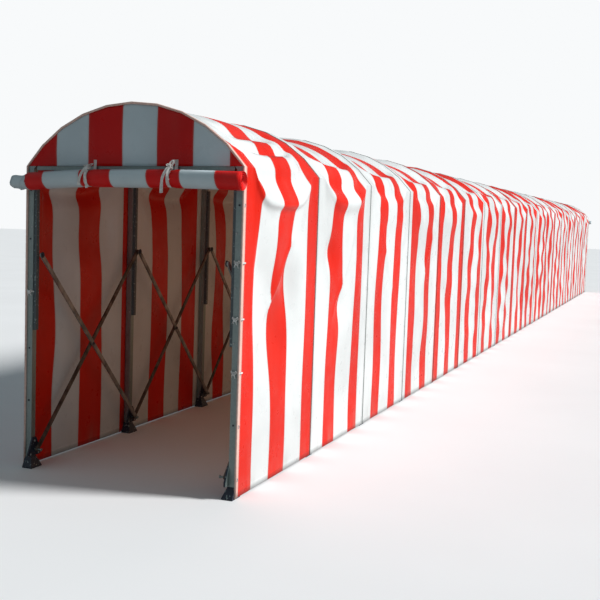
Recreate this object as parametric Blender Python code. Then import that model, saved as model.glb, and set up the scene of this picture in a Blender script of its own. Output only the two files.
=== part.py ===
"""A concertina tunnel tent: hoop frames that slide together, scissor braces and a striped cover.

X is the tent's width, Y its length and Z is up. The front end is at -Y. The origin is the middle
of the footprint, on the ground. The rear end is the front end turned half round about Z.
"""

import math

import bmesh
import bpy
from mathutils import Matrix, Vector

# Whole tent
BAYS = 18
BAY = 1.30
FOLDED_BAY = 0.22
HALF_WIDTH = 0.79
EAVE = 2.03
RISE = 0.40
TOUCH = 0.0003

# Hoop frames: square tube, foot plates, brace brackets and the rails that the braces climb
TUBE = 0.045
HOOP_HALF = 0.783
ARCH_STEPS = 10
FOOT_SIZE = (0.075, 0.12, 0.008)
SHOE_TOP = 0.075
SHOE_LIP = 0.004
BRACKET_THICKNESS = 0.012
BRACKET_HALF = (0.068, 0.02)
BRACKET_HEIGHTS = (0.082, 0.108, 0.205)
RAIL_SIZE = (0.022, 0.03)
RAIL_BOTTOM = 0.94
RAIL_TOP = 1.965
PIN_RADIUS = 0.006
PIN_END = 0.668
PIN_HEAD = (0.011, 0.004)

# Scissor braces: flat bars in two layers on each side
BRACED_BAYS = 4
LOWER_PIVOT = 0.125
UPPER_PIVOT = 1.445
BAR_DEPTH = 0.03
BAR_LAYERS = {"a": (0.698, 0.710), "b": (0.680, 0.692)}
HOLE_RADIUS = 0.0069
ROLLER_RADIUS = 0.013
ROLLER_REACH = 0.0055
BOLT_HEAD = (0.010, 0.003)
ROUND_STEPS = 8

# Cover, from hem to hem over the hoops and slack between them
COVER_THICKNESS = 0.004
COVER_GAP = 0.0005
HEM = 0.008
CROWN_SAG = 0.045
SAG_STATIONS = {0.2: 0.65, 0.5: 1.0, 0.8: 0.65}

# The slack of a wall: a height over a hoop, and how far out and how high it is in the slack
WALL_SLACK = ((1.30, 0.0, 1.20), (1.75, 0.012, 1.60), (1.90, 0.026, 1.77), (2.03, 0.032, 1.87))

# The slack of a shoulder: a share of the lowest roof facet, and its X and Z in the slack
SHOULDER_SLACK = ((0.3, 0.766, 1.965), (0.6, 0.761, 2.05), (0.9, 0.711, 2.122))

# Gables, crossbars and the rolled curtains with their ties
GABLE_THICKNESS = 0.003
GABLE_BOTTOM = 2.032
CROSSBAR_SIZE = (0.7190, 0.03, 0.03)
CROSSBAR_BOTTOM = 2.005
ROLL_RADIUS = 0.0625
ROLL_HEIGHT = 1.953
ROLL_ENDS = (-0.85, 0.815)
ROLL_STEPS = 16
TIE_WIDTH = 0.025
TIE_THICKNESS = 0.003
TIE_TOP = 2.075
TIES = {"left": -0.26, "right": 0.33}

# Worked out from the sizes above
BAR_LENGTH = math.hypot(BAY, UPPER_PIVOT - LOWER_PIVOT)
BAR_ANGLE = math.atan2(UPPER_PIVOT - LOWER_PIVOT, BAY)
FRONT = -BAYS * BAY / 2
POST_INSIDE = HOOP_HALF - TUBE
HOOP_RISE = RISE - (HALF_WIDTH - HOOP_HALF)
GABLE_FACE = TUBE / 2 + TOUCH + GABLE_THICKNESS
HALF_TURN = Matrix.Rotation(math.pi, 4, "Z")


def clear_scene():
    """Remove what a new file holds."""
    for old in list(bpy.data.objects):
        bpy.data.objects.remove(old)


def material(name, colour, roughness, metallic=0.0):
    """A plain Principled finish."""
    made = bpy.data.materials.new(name)
    made.use_nodes = True
    shader = made.node_tree.nodes["Principled BSDF"]
    shader.inputs["Base Color"].default_value = (*colour, 1.0)
    shader.inputs["Roughness"].default_value = roughness
    shader.inputs["Metallic"].default_value = metallic
    return made


def placed(name, mesh, finish, matrix=None):
    """An object of this mesh, at this place, in this finish."""
    if not mesh.materials:
        mesh.materials.append(finish)
    made = bpy.data.objects.new(name, mesh)
    if matrix is not None:
        made.matrix_world = matrix
    bpy.context.scene.collection.objects.link(made)
    return made


def mesh_of(name, form):
    """The mesh of a bmesh, with its faces turned out."""
    bmesh.ops.recalc_face_normals(form, faces=form.faces)
    mesh = bpy.data.meshes.new(name)
    form.to_mesh(mesh)
    form.free()
    return mesh


def prism(name, outline, place, reach):
    """A closed outline, put in space by the function place, pushed along the vector reach."""
    form = bmesh.new()
    face = form.faces.new([form.verts.new(place(*point)) for point in outline])
    pushed = bmesh.ops.extrude_face_region(form, geom=[face])
    moved = [item for item in pushed["geom"] if isinstance(item, bmesh.types.BMVert)]
    bmesh.ops.translate(form, verts=moved, vec=reach)
    return mesh_of(name, form)


def upright(name, outline, y_low, y_high):
    """An outline in X and Z with a thickness along Y."""
    return prism(name, outline, lambda x, z: (x, y_low, z), Vector((0, y_high - y_low, 0)))


def sideways(name, outline, x_low, x_high):
    """An outline in Y and Z with a thickness along X."""
    return prism(name, outline, lambda y, z: (x_low, y, z), Vector((x_high - x_low, 0, 0)))


def block(name, low, high):
    """A box from its lowest corner to its highest."""
    outline = [(low[0], low[2]), (high[0], low[2]), (high[0], high[2]), (low[0], high[2])]
    return upright(name, outline, low[1], high[1])


def circle(centre, radius, steps=ROUND_STEPS):
    """The points of a circle, as an outline."""
    turns = [2 * math.pi * step / steps for step in range(steps)]
    return [(centre[0] + radius * math.cos(a), centre[1] + radius * math.sin(a)) for a in turns]


def joined(name, meshes, operation="UNION"):
    """One closed body from the first mesh and what is added to it or cut from it."""
    pieces = [bpy.data.objects.new(name, mesh) for mesh in meshes]
    for piece in pieces:
        bpy.context.scene.collection.objects.link(piece)
    for piece in pieces[1:]:
        cut = pieces[0].modifiers.new("join", "BOOLEAN")
        cut.operation = operation
        cut.object = piece
    graph = bpy.context.evaluated_depsgraph_get()
    mesh = bpy.data.meshes.new_from_object(pieces[0].evaluated_get(graph))
    for piece in pieces:
        bpy.data.objects.remove(piece)
    mesh.name = name
    return mesh


def arch(half, eave, rise, inset=0.0):
    """The points of a roof arch from its right eave to its left one, or of one set inside it."""
    radius = (half**2 + rise**2) / (2 * rise)
    centre = eave + rise - radius
    inner = radius - inset
    reach = math.asin((half - inset) / inner)
    turns = [reach * (1 - 2 * step / ARCH_STEPS) for step in range(ARCH_STEPS + 1)]
    return [(inner * math.sin(a), centre + inner * math.cos(a)) for a in turns]


def hoop_mesh(name):
    """A hoop frame about its own middle plane: posts and arch, feet, brackets, pins and rails."""
    outer = arch(HOOP_HALF, EAVE, HOOP_RISE)
    inner = arch(HOOP_HALF, EAVE, HOOP_RISE, TUBE)
    sole = FOOT_SIZE[2] / 2
    outline = [(HOOP_HALF, sole), *outer, (-HOOP_HALF, sole)]
    outline += [(-POST_INSIDE, sole), *reversed(inner), (POST_INSIDE, sole)]
    pieces = [upright("hoop", outline, -TUBE / 2, TUBE / 2)]
    for side in (1, -1):
        pieces.append(shoe_mesh(side))
        inside, outside = POST_INSIDE - BRACKET_THICKNESS, POST_INSIDE + sole
        pieces.append(sideways("bracket", bracket_outline(), side * inside, side * outside))
        pieces.append(side_block(side, RAIL_SIZE[0], RAIL_SIZE[1], (RAIL_BOTTOM, RAIL_TOP)))
        pin = circle((0, LOWER_PIVOT), PIN_RADIUS)
        pieces.append(sideways("pin", pin, side * PIN_END, side * outside))
        head = circle((0, LOWER_PIVOT), PIN_HEAD[0])
        pieces.append(sideways("head", head, side * PIN_END, side * (PIN_END + PIN_HEAD[1])))
    return joined(name, pieces)


def shoe_mesh(side):
    """A foot plate under a shoe that narrows to the post, flush with the post's outer face."""
    outer, half = HOOP_HALF, FOOT_SIZE[1] / 2
    levels = (
        (0, FOOT_SIZE[0], half),
        (FOOT_SIZE[2], FOOT_SIZE[0], half),
        (SHOE_TOP, TUBE + SHOE_LIP, TUBE / 2 + SHOE_LIP),
    )
    form = bmesh.new()
    rings = []
    for z, width, depth in levels:
        ends = ((outer, -depth), (outer, depth), (outer - width, depth), (outer - width, -depth))
        rings.append([form.verts.new((side * x, y, z)) for x, y in ends])
    for ring, after in zip(rings, rings[1:]):
        for corner in range(4):
            follow = (corner + 1) % 4
            form.faces.new((ring[corner], ring[follow], after[follow], after[corner]))
    form.faces.new(rings[0])
    form.faces.new(rings[-1])
    return mesh_of("shoe", form)


def bracket_outline():
    """The plate that carries the lower pivots, wide at its foot and narrow at its top."""
    low, shoulder, high = BRACKET_HEIGHTS
    wide, narrow = BRACKET_HALF
    right = [(wide, low), (wide, shoulder), (narrow, high)]
    return right + [(-y, z) for y, z in reversed(right)]


def side_block(side, reach, width, span):
    """A block on a post's inner face that sinks a little into it, so that the two join."""
    faces = sorted((side * (POST_INSIDE - reach), side * (POST_INSIDE + TUBE / 4)))
    return block("block", (faces[0], -width / 2, span[0]), (faces[1], width / 2, span[1]))


def bar_mesh(name, layer, side):
    """A brace along +Y from its lower pivot at the origin, in its layer beside the post."""
    near, far = BAR_LAYERS[layer]
    half = BAR_DEPTH / 2
    turns = [math.pi * step / ROUND_STEPS * 2 for step in range(ROUND_STEPS // 2 + 1)]
    top = [(BAR_LENGTH + half * math.sin(a), -half * math.cos(a)) for a in turns]
    bottom = [(-half * math.sin(a), half * math.cos(a)) for a in turns]
    bar = sideways("bar", bottom + top, side * near, side * far)
    middle = (BAR_LENGTH / 2, 0)
    if layer == "a":
        roller = (far - ROLLER_REACH / 2, far + ROLLER_REACH)
        bolt = (far - ROLLER_REACH / 2, far + BOLT_HEAD[1])
    else:
        roller = (near - BOLT_HEAD[1], near + ROLLER_REACH / 2)
        bolt = roller
    fittings = [
        sideways("roller", circle((BAR_LENGTH, 0), ROLLER_RADIUS), *(side * x for x in roller)),
        sideways("bolt", circle(middle, BOLT_HEAD[0]), *(side * x for x in bolt)),
    ]
    whole = joined("whole", [bar, *fittings])
    hole = sideways("hole", circle((0, 0), HOLE_RADIUS), side * (near - 0.01), side * (far + 0.01))
    return joined(name, [whole, hole], "DIFFERENCE")


def add_braces(bay, finish):
    """The two crossing braces on each side of a bay, each turned about its lower pivot."""
    feet = {"a": FRONT + bay * BAY, "b": FRONT + (bay + 1) * BAY}
    angles = {"a": BAR_ANGLE, "b": math.pi - BAR_ANGLE}
    for layer in BAR_LAYERS:
        for side_name, side in (("left", -1), ("right", 1)):
            name = f"brace_{layer}_{bay + 1:02d}_{side_name}"
            spot = Matrix.Translation((0, feet[layer], LOWER_PIVOT))
            turned = spot @ Matrix.Rotation(angles[layer], 4, "X")
            placed(name, bar_mesh(name, layer, side), finish, turned)


def between(start, end, share):
    """The point that lies this share of the way from one point to another."""
    return tuple(a + share * (b - a) for a, b in zip(start, end))


def cover_section(share, outward):
    """The cover's line from hem to hem, outward off the hoops, with its share of the full slack."""
    half, rise = HOOP_HALF + outward, HOOP_RISE + outward
    centre = EAVE + rise - (half**2 + rise**2) / (2 * rise)
    corner = math.atan2(half, EAVE - centre)
    line = [(half, HEM)]
    for height, out, low in WALL_SLACK:
        line.append(between((half, height), (half + out, low), share))
    roof = arch(half, EAVE, rise)[: ARCH_STEPS // 2 + 1]
    for along, x, z in SHOULDER_SLACK:
        loose = (x + outward * 0.8, z + outward * 0.6)
        line.append(between(between(roof[0], roof[1], along), loose, share))
    for x, z in roof[1:]:
        turn = math.atan2(x, z - centre)
        sag = share * CROWN_SAG * (1 - 0.6 * (turn / corner) ** 2)
        line.append((x - sag * math.sin(turn), z - sag * math.cos(turn)))
    return line + [(-x, z) for x, z in reversed(line[:-1])]


def cover_mesh(name):
    """The whole cover, one sheet from hem to hem that sags between the hoops."""
    stations = []
    for bay in range(BAYS + 1):
        hoop = FRONT + bay * BAY
        stations += [(hoop - TUBE / 2, 0.0), (hoop + TUBE / 2, 0.0)]
        if bay < BAYS:
            stations += [(hoop + along * BAY, share) for along, share in SAG_STATIONS.items()]
    form = bmesh.new()
    rings = []
    for y, sag in stations:
        outer = cover_section(sag, COVER_GAP + COVER_THICKNESS)
        inner = cover_section(sag, COVER_GAP)
        rings.append([form.verts.new((x, y, z)) for x, z in outer + inner[::-1]])
    count = len(rings[0])
    for ring, after in zip(rings, rings[1:]):
        for corner in range(count):
            follow = (corner + 1) % count
            form.faces.new((ring[corner], ring[follow], after[follow], after[corner]))
    for ring in (rings[0], rings[-1]):
        for corner in range(count // 2 - 1):
            inside = count - 1 - corner
            form.faces.new((ring[corner], ring[corner + 1], ring[inside - 1], ring[inside]))
    return mesh_of(name, form)


def gable_mesh(name):
    """The panel that closes the arch over the doorway, in front of the hoop."""
    roof = arch(HOOP_HALF, EAVE, HOOP_RISE)
    share = (GABLE_BOTTOM - EAVE) / (roof[1][1] - EAVE)
    corner = HOOP_HALF + share * (roof[1][0] - HOOP_HALF)
    outline = [(corner, GABLE_BOTTOM), *roof[1:-1], (-corner, GABLE_BOTTOM)]
    return upright(name, outline, -GABLE_FACE, -GABLE_FACE + GABLE_THICKNESS)


def roll_centre():
    """The rolled curtain's middle, as Y and Z before the end hoop's own place is added."""
    return -GABLE_FACE - TOUCH - TIE_THICKNESS - ROLL_RADIUS - TOUCH, ROLL_HEIGHT


def tie_mesh(name, x):
    """A webbing tie: a loop round the roll and a tab up the gable."""
    low, high = x - TIE_WIDTH / 2, x + TIE_WIDTH / 2
    centre = roll_centre()
    outer = ROLL_RADIUS + TOUCH + TIE_THICKNESS
    loop = sideways("loop", circle(centre, outer, ROLL_STEPS), low, high)
    back = -GABLE_FACE - TOUCH
    tab = block("tab", (low, back - TIE_THICKNESS, ROLL_HEIGHT), (high, back, TIE_TOP))
    reach = ROLL_RADIUS + TOUCH
    core = sideways("core", circle(centre, reach, ROLL_STEPS), low - 0.01, high + 0.01)
    return joined(name, [joined("webbing", [loop, tab]), core], "DIFFERENCE")


def add_end(end, matrix, finishes):
    """What only an end hoop carries: crossbar, gable, rolled curtain and its ties."""
    half, depth, height = CROSSBAR_SIZE
    bar = block("bar", (-half, -depth / 2, 0), (half, depth / 2, height))
    raised = matrix @ Matrix.Translation((0, 0, CROSSBAR_BOTTOM))
    placed(f"{end}_crossbar", bar, finishes["steel"], raised)
    placed(f"{end}_gable", gable_mesh(f"{end}_gable"), finishes["gable"], matrix)
    roll = sideways("roll", circle(roll_centre(), ROLL_RADIUS, ROLL_STEPS), *ROLL_ENDS)
    placed(f"{end}_curtain_roll", roll, finishes["curtain"], matrix)
    for side, x in TIES.items():
        name = f"{end}_tie_{side}"
        placed(name, tie_mesh(name, x), finishes["webbing"], matrix)


def build():
    """The whole tent."""
    clear_scene()
    finishes = {
        "steel": material("galvanised steel", (0.42, 0.45, 0.44), 0.45, 0.9),
        "cover": material("red and white cover", (0.85, 0.10, 0.07), 0.4),
        "gable": material("red and white gable", (0.80, 0.09, 0.06), 0.4),
        "curtain": material("red and white curtain", (0.78, 0.12, 0.09), 0.45),
        "webbing": material("white webbing", (0.85, 0.85, 0.82), 0.8),
    }
    hoop = hoop_mesh("hoop_frame")
    for bay in range(BAYS + 1):
        spot = Matrix.Translation((0, FRONT + bay * BAY, 0))
        placed(f"hoop_frame_{bay:02d}", hoop, finishes["steel"], spot)
    for bay in range(BRACED_BAYS):
        add_braces(bay, finishes["steel"])
    placed("cover", cover_mesh("cover"), finishes["cover"])
    front = Matrix.Translation((0, FRONT, 0))
    add_end("front", front, finishes)
    add_end("rear", HALF_TURN @ front, finishes)


build()
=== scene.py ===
"""The concertina tunnel tent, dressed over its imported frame.

X is the tent's width, Y its length and Z is up, in metres. The front end is at -Y. Each end is
made in its own coordinates, with the middle plane of its hoop at Y 0, and then put in place: the
rear end is the front end turned half round.
"""

import logging
import math
from collections.abc import Callable
from dataclasses import dataclass, field
from enum import Enum

import bmesh
import bpy
import numpy as np
from mathutils import Matrix, Vector


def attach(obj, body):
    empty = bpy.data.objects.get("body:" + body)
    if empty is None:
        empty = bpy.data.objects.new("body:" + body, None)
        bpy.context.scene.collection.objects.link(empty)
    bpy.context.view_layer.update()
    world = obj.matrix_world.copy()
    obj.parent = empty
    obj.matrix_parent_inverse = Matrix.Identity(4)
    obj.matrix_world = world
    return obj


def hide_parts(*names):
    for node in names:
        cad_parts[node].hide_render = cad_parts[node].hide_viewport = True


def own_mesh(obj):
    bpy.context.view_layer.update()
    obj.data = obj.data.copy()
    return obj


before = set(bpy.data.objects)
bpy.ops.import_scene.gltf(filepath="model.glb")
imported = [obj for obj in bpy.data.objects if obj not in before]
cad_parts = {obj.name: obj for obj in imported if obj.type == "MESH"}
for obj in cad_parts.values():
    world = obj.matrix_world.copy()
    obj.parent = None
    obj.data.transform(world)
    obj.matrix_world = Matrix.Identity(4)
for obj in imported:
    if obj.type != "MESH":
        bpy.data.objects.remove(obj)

LOG = logging.getLogger("tent")
CLOTH_MAP = "cloth"
BAY_MAP = "bay"
SHARP_EDGE = math.radians(40)
SHARP_TAPE_EDGE = math.radians(50)
MIRROR_X = Matrix.Scale(-1, 4, (1, 0, 0))
Value = bpy.types.NodeSocket | float
Colour = bpy.types.NodeSocket | tuple


@dataclass(frozen=True)
class TentSizes:
    """Sizes in metres that the whole tent shares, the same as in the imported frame."""

    bays: int = 18
    bay: float = 1.30
    folded_bay: float = 0.22
    hoop_half: float = 0.783
    eave: float = 2.03
    hoop_rise: float = 0.393
    arch_steps: int = 10
    tube: float = 0.045
    hem: float = 0.008
    post_inside: float = 0.738

    @property
    def front(self) -> float:
        """The Y of the front hoop's middle plane."""
        return -self.bays * self.bay / 2

    @property
    def keep(self) -> float:
        """The share of its length that a bay keeps when the tent is folded."""
        return self.folded_bay / self.bay

    def hoop_y(self, index: int) -> float:
        """The Y of a hoop's middle plane."""
        return self.front + index * self.bay

    def hoop_body(self, index: int) -> str:
        """The name of the body that a hoop belongs to."""
        ends = {0: "front_end", self.bays: "rear_end"}
        return ends.get(index, f"hoop_{index:02d}")


TENT = TentSizes()


class End(Enum):
    """The two ends of the tent."""

    FRONT = "front"
    REAR = "rear"

    @property
    def body(self) -> str:
        """The name of the body that carries this end."""
        return f"{self.value}_end"

    @property
    def matrix(self) -> Matrix:
        """The move from an end's own coordinates to the tent's."""
        spot = Matrix.Translation((0, TENT.front, 0))
        return spot if self is End.FRONT else Matrix.Rotation(math.pi, 4, "Z") @ spot


class Bench:
    """The small steps of modelling that every piece needs."""

    @staticmethod
    def clear() -> None:
        """Leave edit mode and deselect everything."""
        if bpy.context.object and bpy.context.object.mode != "OBJECT":
            bpy.ops.object.mode_set(mode="OBJECT")
        bpy.ops.object.select_all(action="DESELECT")

    @staticmethod
    def take(piece: bpy.types.Object) -> bpy.types.Object:
        """Select one piece alone and make it active.

        Args:
            piece: The piece to work on.

        Returns:
            The same piece.
        """
        Bench.clear()
        piece.hide_set(False)
        piece.select_set(True)
        bpy.context.view_layer.objects.active = piece
        return piece

    @staticmethod
    def select_faces(piece: bpy.types.Object, chosen: Callable[[bmesh.types.BMFace], bool]) -> None:
        """Select, in edit mode, the faces that a test picks, and no others.

        Args:
            piece: The piece in edit mode.
            chosen: A test that takes a face and says whether it is picked.
        """
        bpy.ops.mesh.select_mode(type="FACE")
        form = bmesh.from_edit_mesh(piece.data)
        for face in form.faces:
            face.select_set(chosen(face))
        form.select_flush_mode()
        bmesh.update_edit_mesh(piece.data)

    @staticmethod
    def finish(piece: bpy.types.Object, kind: str, **settings) -> None:
        """Add a modifier to the active piece and apply it.

        Args:
            piece: The piece to finish.
            kind: The modifier's type.
            **settings: The modifier's own settings.
        """
        Bench.take(piece)
        bpy.ops.object.modifier_add(type=kind)
        modifier = piece.modifiers[-1]
        for name, value in settings.items():
            setattr(modifier, name, value)
        bpy.ops.object.modifier_apply(modifier=modifier.name)

    @staticmethod
    def settle(piece: bpy.types.Object, name: str) -> bpy.types.Object:
        """Put a piece's place into its mesh, turn its faces out, smooth its soft edges and name it.

        Args:
            piece: The piece, wherever it was modelled.
            name: The name that it gets.

        Returns:
            The piece, at the origin, unturned and unscaled.
        """
        Bench.take(piece)
        bpy.ops.object.transform_apply(location=True, rotation=True, scale=True)
        bpy.ops.object.mode_set(mode="EDIT")
        bpy.ops.mesh.select_all(action="SELECT")
        bpy.ops.mesh.normals_make_consistent(inside=False)
        bpy.ops.object.mode_set(mode="OBJECT")
        bpy.ops.object.shade_smooth_by_angle(angle=SHARP_EDGE)
        piece.name = name
        piece.data.name = name
        return piece

    @staticmethod
    def join(pieces: list[bpy.types.Object]) -> bpy.types.Object:
        """Join several pieces into the first one.

        Args:
            pieces: The pieces to join.

        Returns:
            The joined piece.
        """
        Bench.clear()
        for piece in pieces:
            piece.select_set(True)
        bpy.context.view_layer.objects.active = pieces[0]
        bpy.ops.object.join()
        return pieces[0]

    @staticmethod
    def copy(piece: bpy.types.Object, matrix: Matrix) -> bpy.types.Object:
        """Copy a settled piece with its own mesh, moved by a matrix.

        Args:
            piece: The settled piece.
            matrix: The move that its mesh gets.

        Returns:
            The copy, at the origin.
        """
        twin = piece.copy()
        twin.data = piece.data.copy()
        twin.data.transform(matrix)
        if matrix.determinant() < 0:
            twin.data.flip_normals()
        bpy.context.scene.collection.objects.link(twin)
        return twin

    @staticmethod
    def drum(radius: float, depth: float, place: tuple, axis: str, sides: int,
             edge: float) -> bpy.types.Object:
        """A short round or hexagonal bar with its edges bevelled.

        Args:
            radius: Its radius.
            depth: Its length along the axis.
            place: Its middle.
            axis: The axis that it lies along, X or Y.
            sides: How many sides it has.
            edge: The width of the bevel.

        Returns:
            The bar.
        """
        turns = {"X": (0, math.pi / 2, 0), "Y": (math.pi / 2, 0, 0)}
        Bench.clear()
        bpy.ops.mesh.primitive_cylinder_add(
            vertices=sides, radius=radius, depth=depth, location=place, rotation=turns[axis]
        )
        made = bpy.context.object
        bpy.ops.object.mode_set(mode="EDIT")
        bpy.ops.mesh.select_all(action="DESELECT")
        Bench.select_faces(made, lambda face: len(face.verts) > 4)
        bpy.ops.mesh.bevel(offset=edge, segments=1)
        bpy.ops.object.mode_set(mode="OBJECT")
        return made

    @staticmethod
    def place(name: str, data: bpy.types.ID) -> bpy.types.Object:
        """Put a mesh, a lamp or a camera into the scene.

        Args:
            name: The name that it gets there.
            data: What is put there.

        Returns:
            The new object.
        """
        made = bpy.data.objects.new(name, data)
        bpy.context.scene.collection.objects.link(made)
        return made

    @staticmethod
    def skin(name: str, form: bmesh.types.BMesh, rings: list, closed: bool = False) -> bpy.types.Object:
        """Stretch a skin over rings of corners that stand one behind the other.

        Args:
            name: The piece's name.
            form: The form that holds the corners.
            rings: The rings, each as a list of its corners.
            closed: Whether the last ring joins the first. Otherwise the two end rings are filled.

        Returns:
            The piece, closed all round.
        """
        after = rings[1:] + rings[:1] if closed else rings[1:]
        for ring, following in zip(rings, after):
            for k in range(len(ring)):
                form.faces.new((ring[k], ring[k - 1], following[k - 1], following[k]))
        if not closed:
            form.faces.new(rings[0])
            form.faces.new(rings[-1])
        bmesh.ops.recalc_face_normals(form, faces=form.faces)
        mesh = bpy.data.meshes.new(name)
        form.to_mesh(mesh)
        form.free()
        return Bench.place(name, mesh)


def grid_piece(name: str, points: np.ndarray, across: np.ndarray) -> bpy.types.Object:
    """A sheet over a grid of points, with its stripe coordinate as a UV map.

    Args:
        name: The piece's name.
        points: The points, as rows, columns and the three coordinates.
        across: The stripe coordinate and the running length of each point, as rows, columns and 2. A
            cover's bay has two more: the distance from its front hoop, and the length from its hem.

    Returns:
        The sheet, without thickness.
    """
    rows, columns = points.shape[:2]
    index = np.arange(rows * columns).reshape(rows, columns)
    here, after = index[:, :-1], index[:, 1:]
    faces = np.stack([here[:-1], after[:-1], after[1:], here[1:]], axis=-1).reshape(-1, 4)
    mesh = bpy.data.meshes.new(name)
    mesh.from_pydata(points.reshape(-1, 3).tolist(), [], faces.tolist())
    corners = np.empty(len(mesh.loops), np.int32)
    mesh.loops.foreach_get("vertex_index", corners)
    for number, layer in enumerate((CLOTH_MAP, BAY_MAP)[:across.shape[2] // 2]):
        spots = across[..., 2 * number:2 * number + 2].reshape(-1, 2)[corners]
        mesh.uv_layers.new(name=layer).data.foreach_set("uv", spots.astype(np.float32).ravel())
    mesh.polygons.foreach_set("use_smooth", [True] * len(mesh.polygons))
    return Bench.place(name, mesh)


def tube_piece(name: str, path: list, radius: float, sides: int = 6,
               closed: bool = False) -> bpy.types.Object:
    """A cord along a path, as a closed mesh tube.

    Args:
        name: The piece's name.
        path: The points of its middle line.
        radius: Its radius.
        sides: How many sides it has.
        closed: Whether its end joins its start.

    Returns:
        The cord.
    """
    spots = [Vector(point) for point in path]
    form = bmesh.new()
    rings = []
    normal = None
    for step, spot in enumerate(spots):
        before = spots[step - 1] if step or closed else spot
        after = spots[(step + 1) % len(spots)] if step + 1 < len(spots) or closed else spot
        along = (after - before).normalized()
        if normal is None:
            normal = along.orthogonal().normalized()
        normal = (normal - along * normal.dot(along)).normalized()
        side = along.cross(normal)
        turns = [2 * math.pi * k / sides for k in range(sides)]
        rings.append([
            form.verts.new(spot + radius * (math.cos(a) * normal + math.sin(a) * side)) for a in turns
        ])
    made = Bench.skin(name, form, rings, closed)
    made.data.polygons.foreach_set("use_smooth", [len(p.vertices) == 4 for p in made.data.polygons])
    return made


def ribbon_piece(name: str, path: list, across: list, width: float, thickness: float) -> bpy.types.Object:
    """A flat tape along a path.

    Args:
        name: The piece's name.
        path: The points of its middle line.
        across: The direction of its width at each point.
        width: Its width.
        thickness: Its thickness.

    Returns:
        The tape, closed all round.
    """
    spots = [Vector(point) for point in path]
    form = bmesh.new()
    rings = []
    for step, spot in enumerate(spots):
        before, after = spots[max(step - 1, 0)], spots[min(step + 1, len(spots) - 1)]
        wide = Vector(across[step]).normalized()
        up = (after - before).cross(wide).normalized() * thickness / 2
        half = wide * width / 2
        corners = (spot - half - up, spot + half - up, spot + half + up, spot - half + up)
        rings.append([form.verts.new(corner) for corner in corners])
    made = Bench.take(Bench.skin(name, form, rings))
    bpy.ops.object.shade_smooth_by_angle(angle=SHARP_TAPE_EDGE)
    return made


def smooth_line(points: list, steps: int, closed: bool = False) -> list[Vector]:
    """A smooth line through a few points.

    Args:
        points: The points that it passes.
        steps: How many points the smooth line has between two of them.
        closed: Whether it comes back to its start.

    Returns:
        The smooth line's points.
    """
    knots = [Vector(point) for point in points]
    count = len(knots)
    last = count if closed else count - 1
    line = []
    for k in range(last):
        if closed:
            before, start, end, after = (knots[(k + i) % count] for i in (-1, 0, 1, 2))
        else:
            before, start = knots[max(k - 1, 0)], knots[k]
            end, after = knots[k + 1], knots[min(k + 2, count - 1)]
        for step in range(steps):
            t = step / steps
            line.append(0.5 * (2 * start + (end - before) * t
                               + (2 * before - 5 * start + 4 * end - after) * t * t
                               + (3 * start - before - 3 * end + after) * t * t * t))
    return line if closed else line + [knots[-1]]


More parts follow.
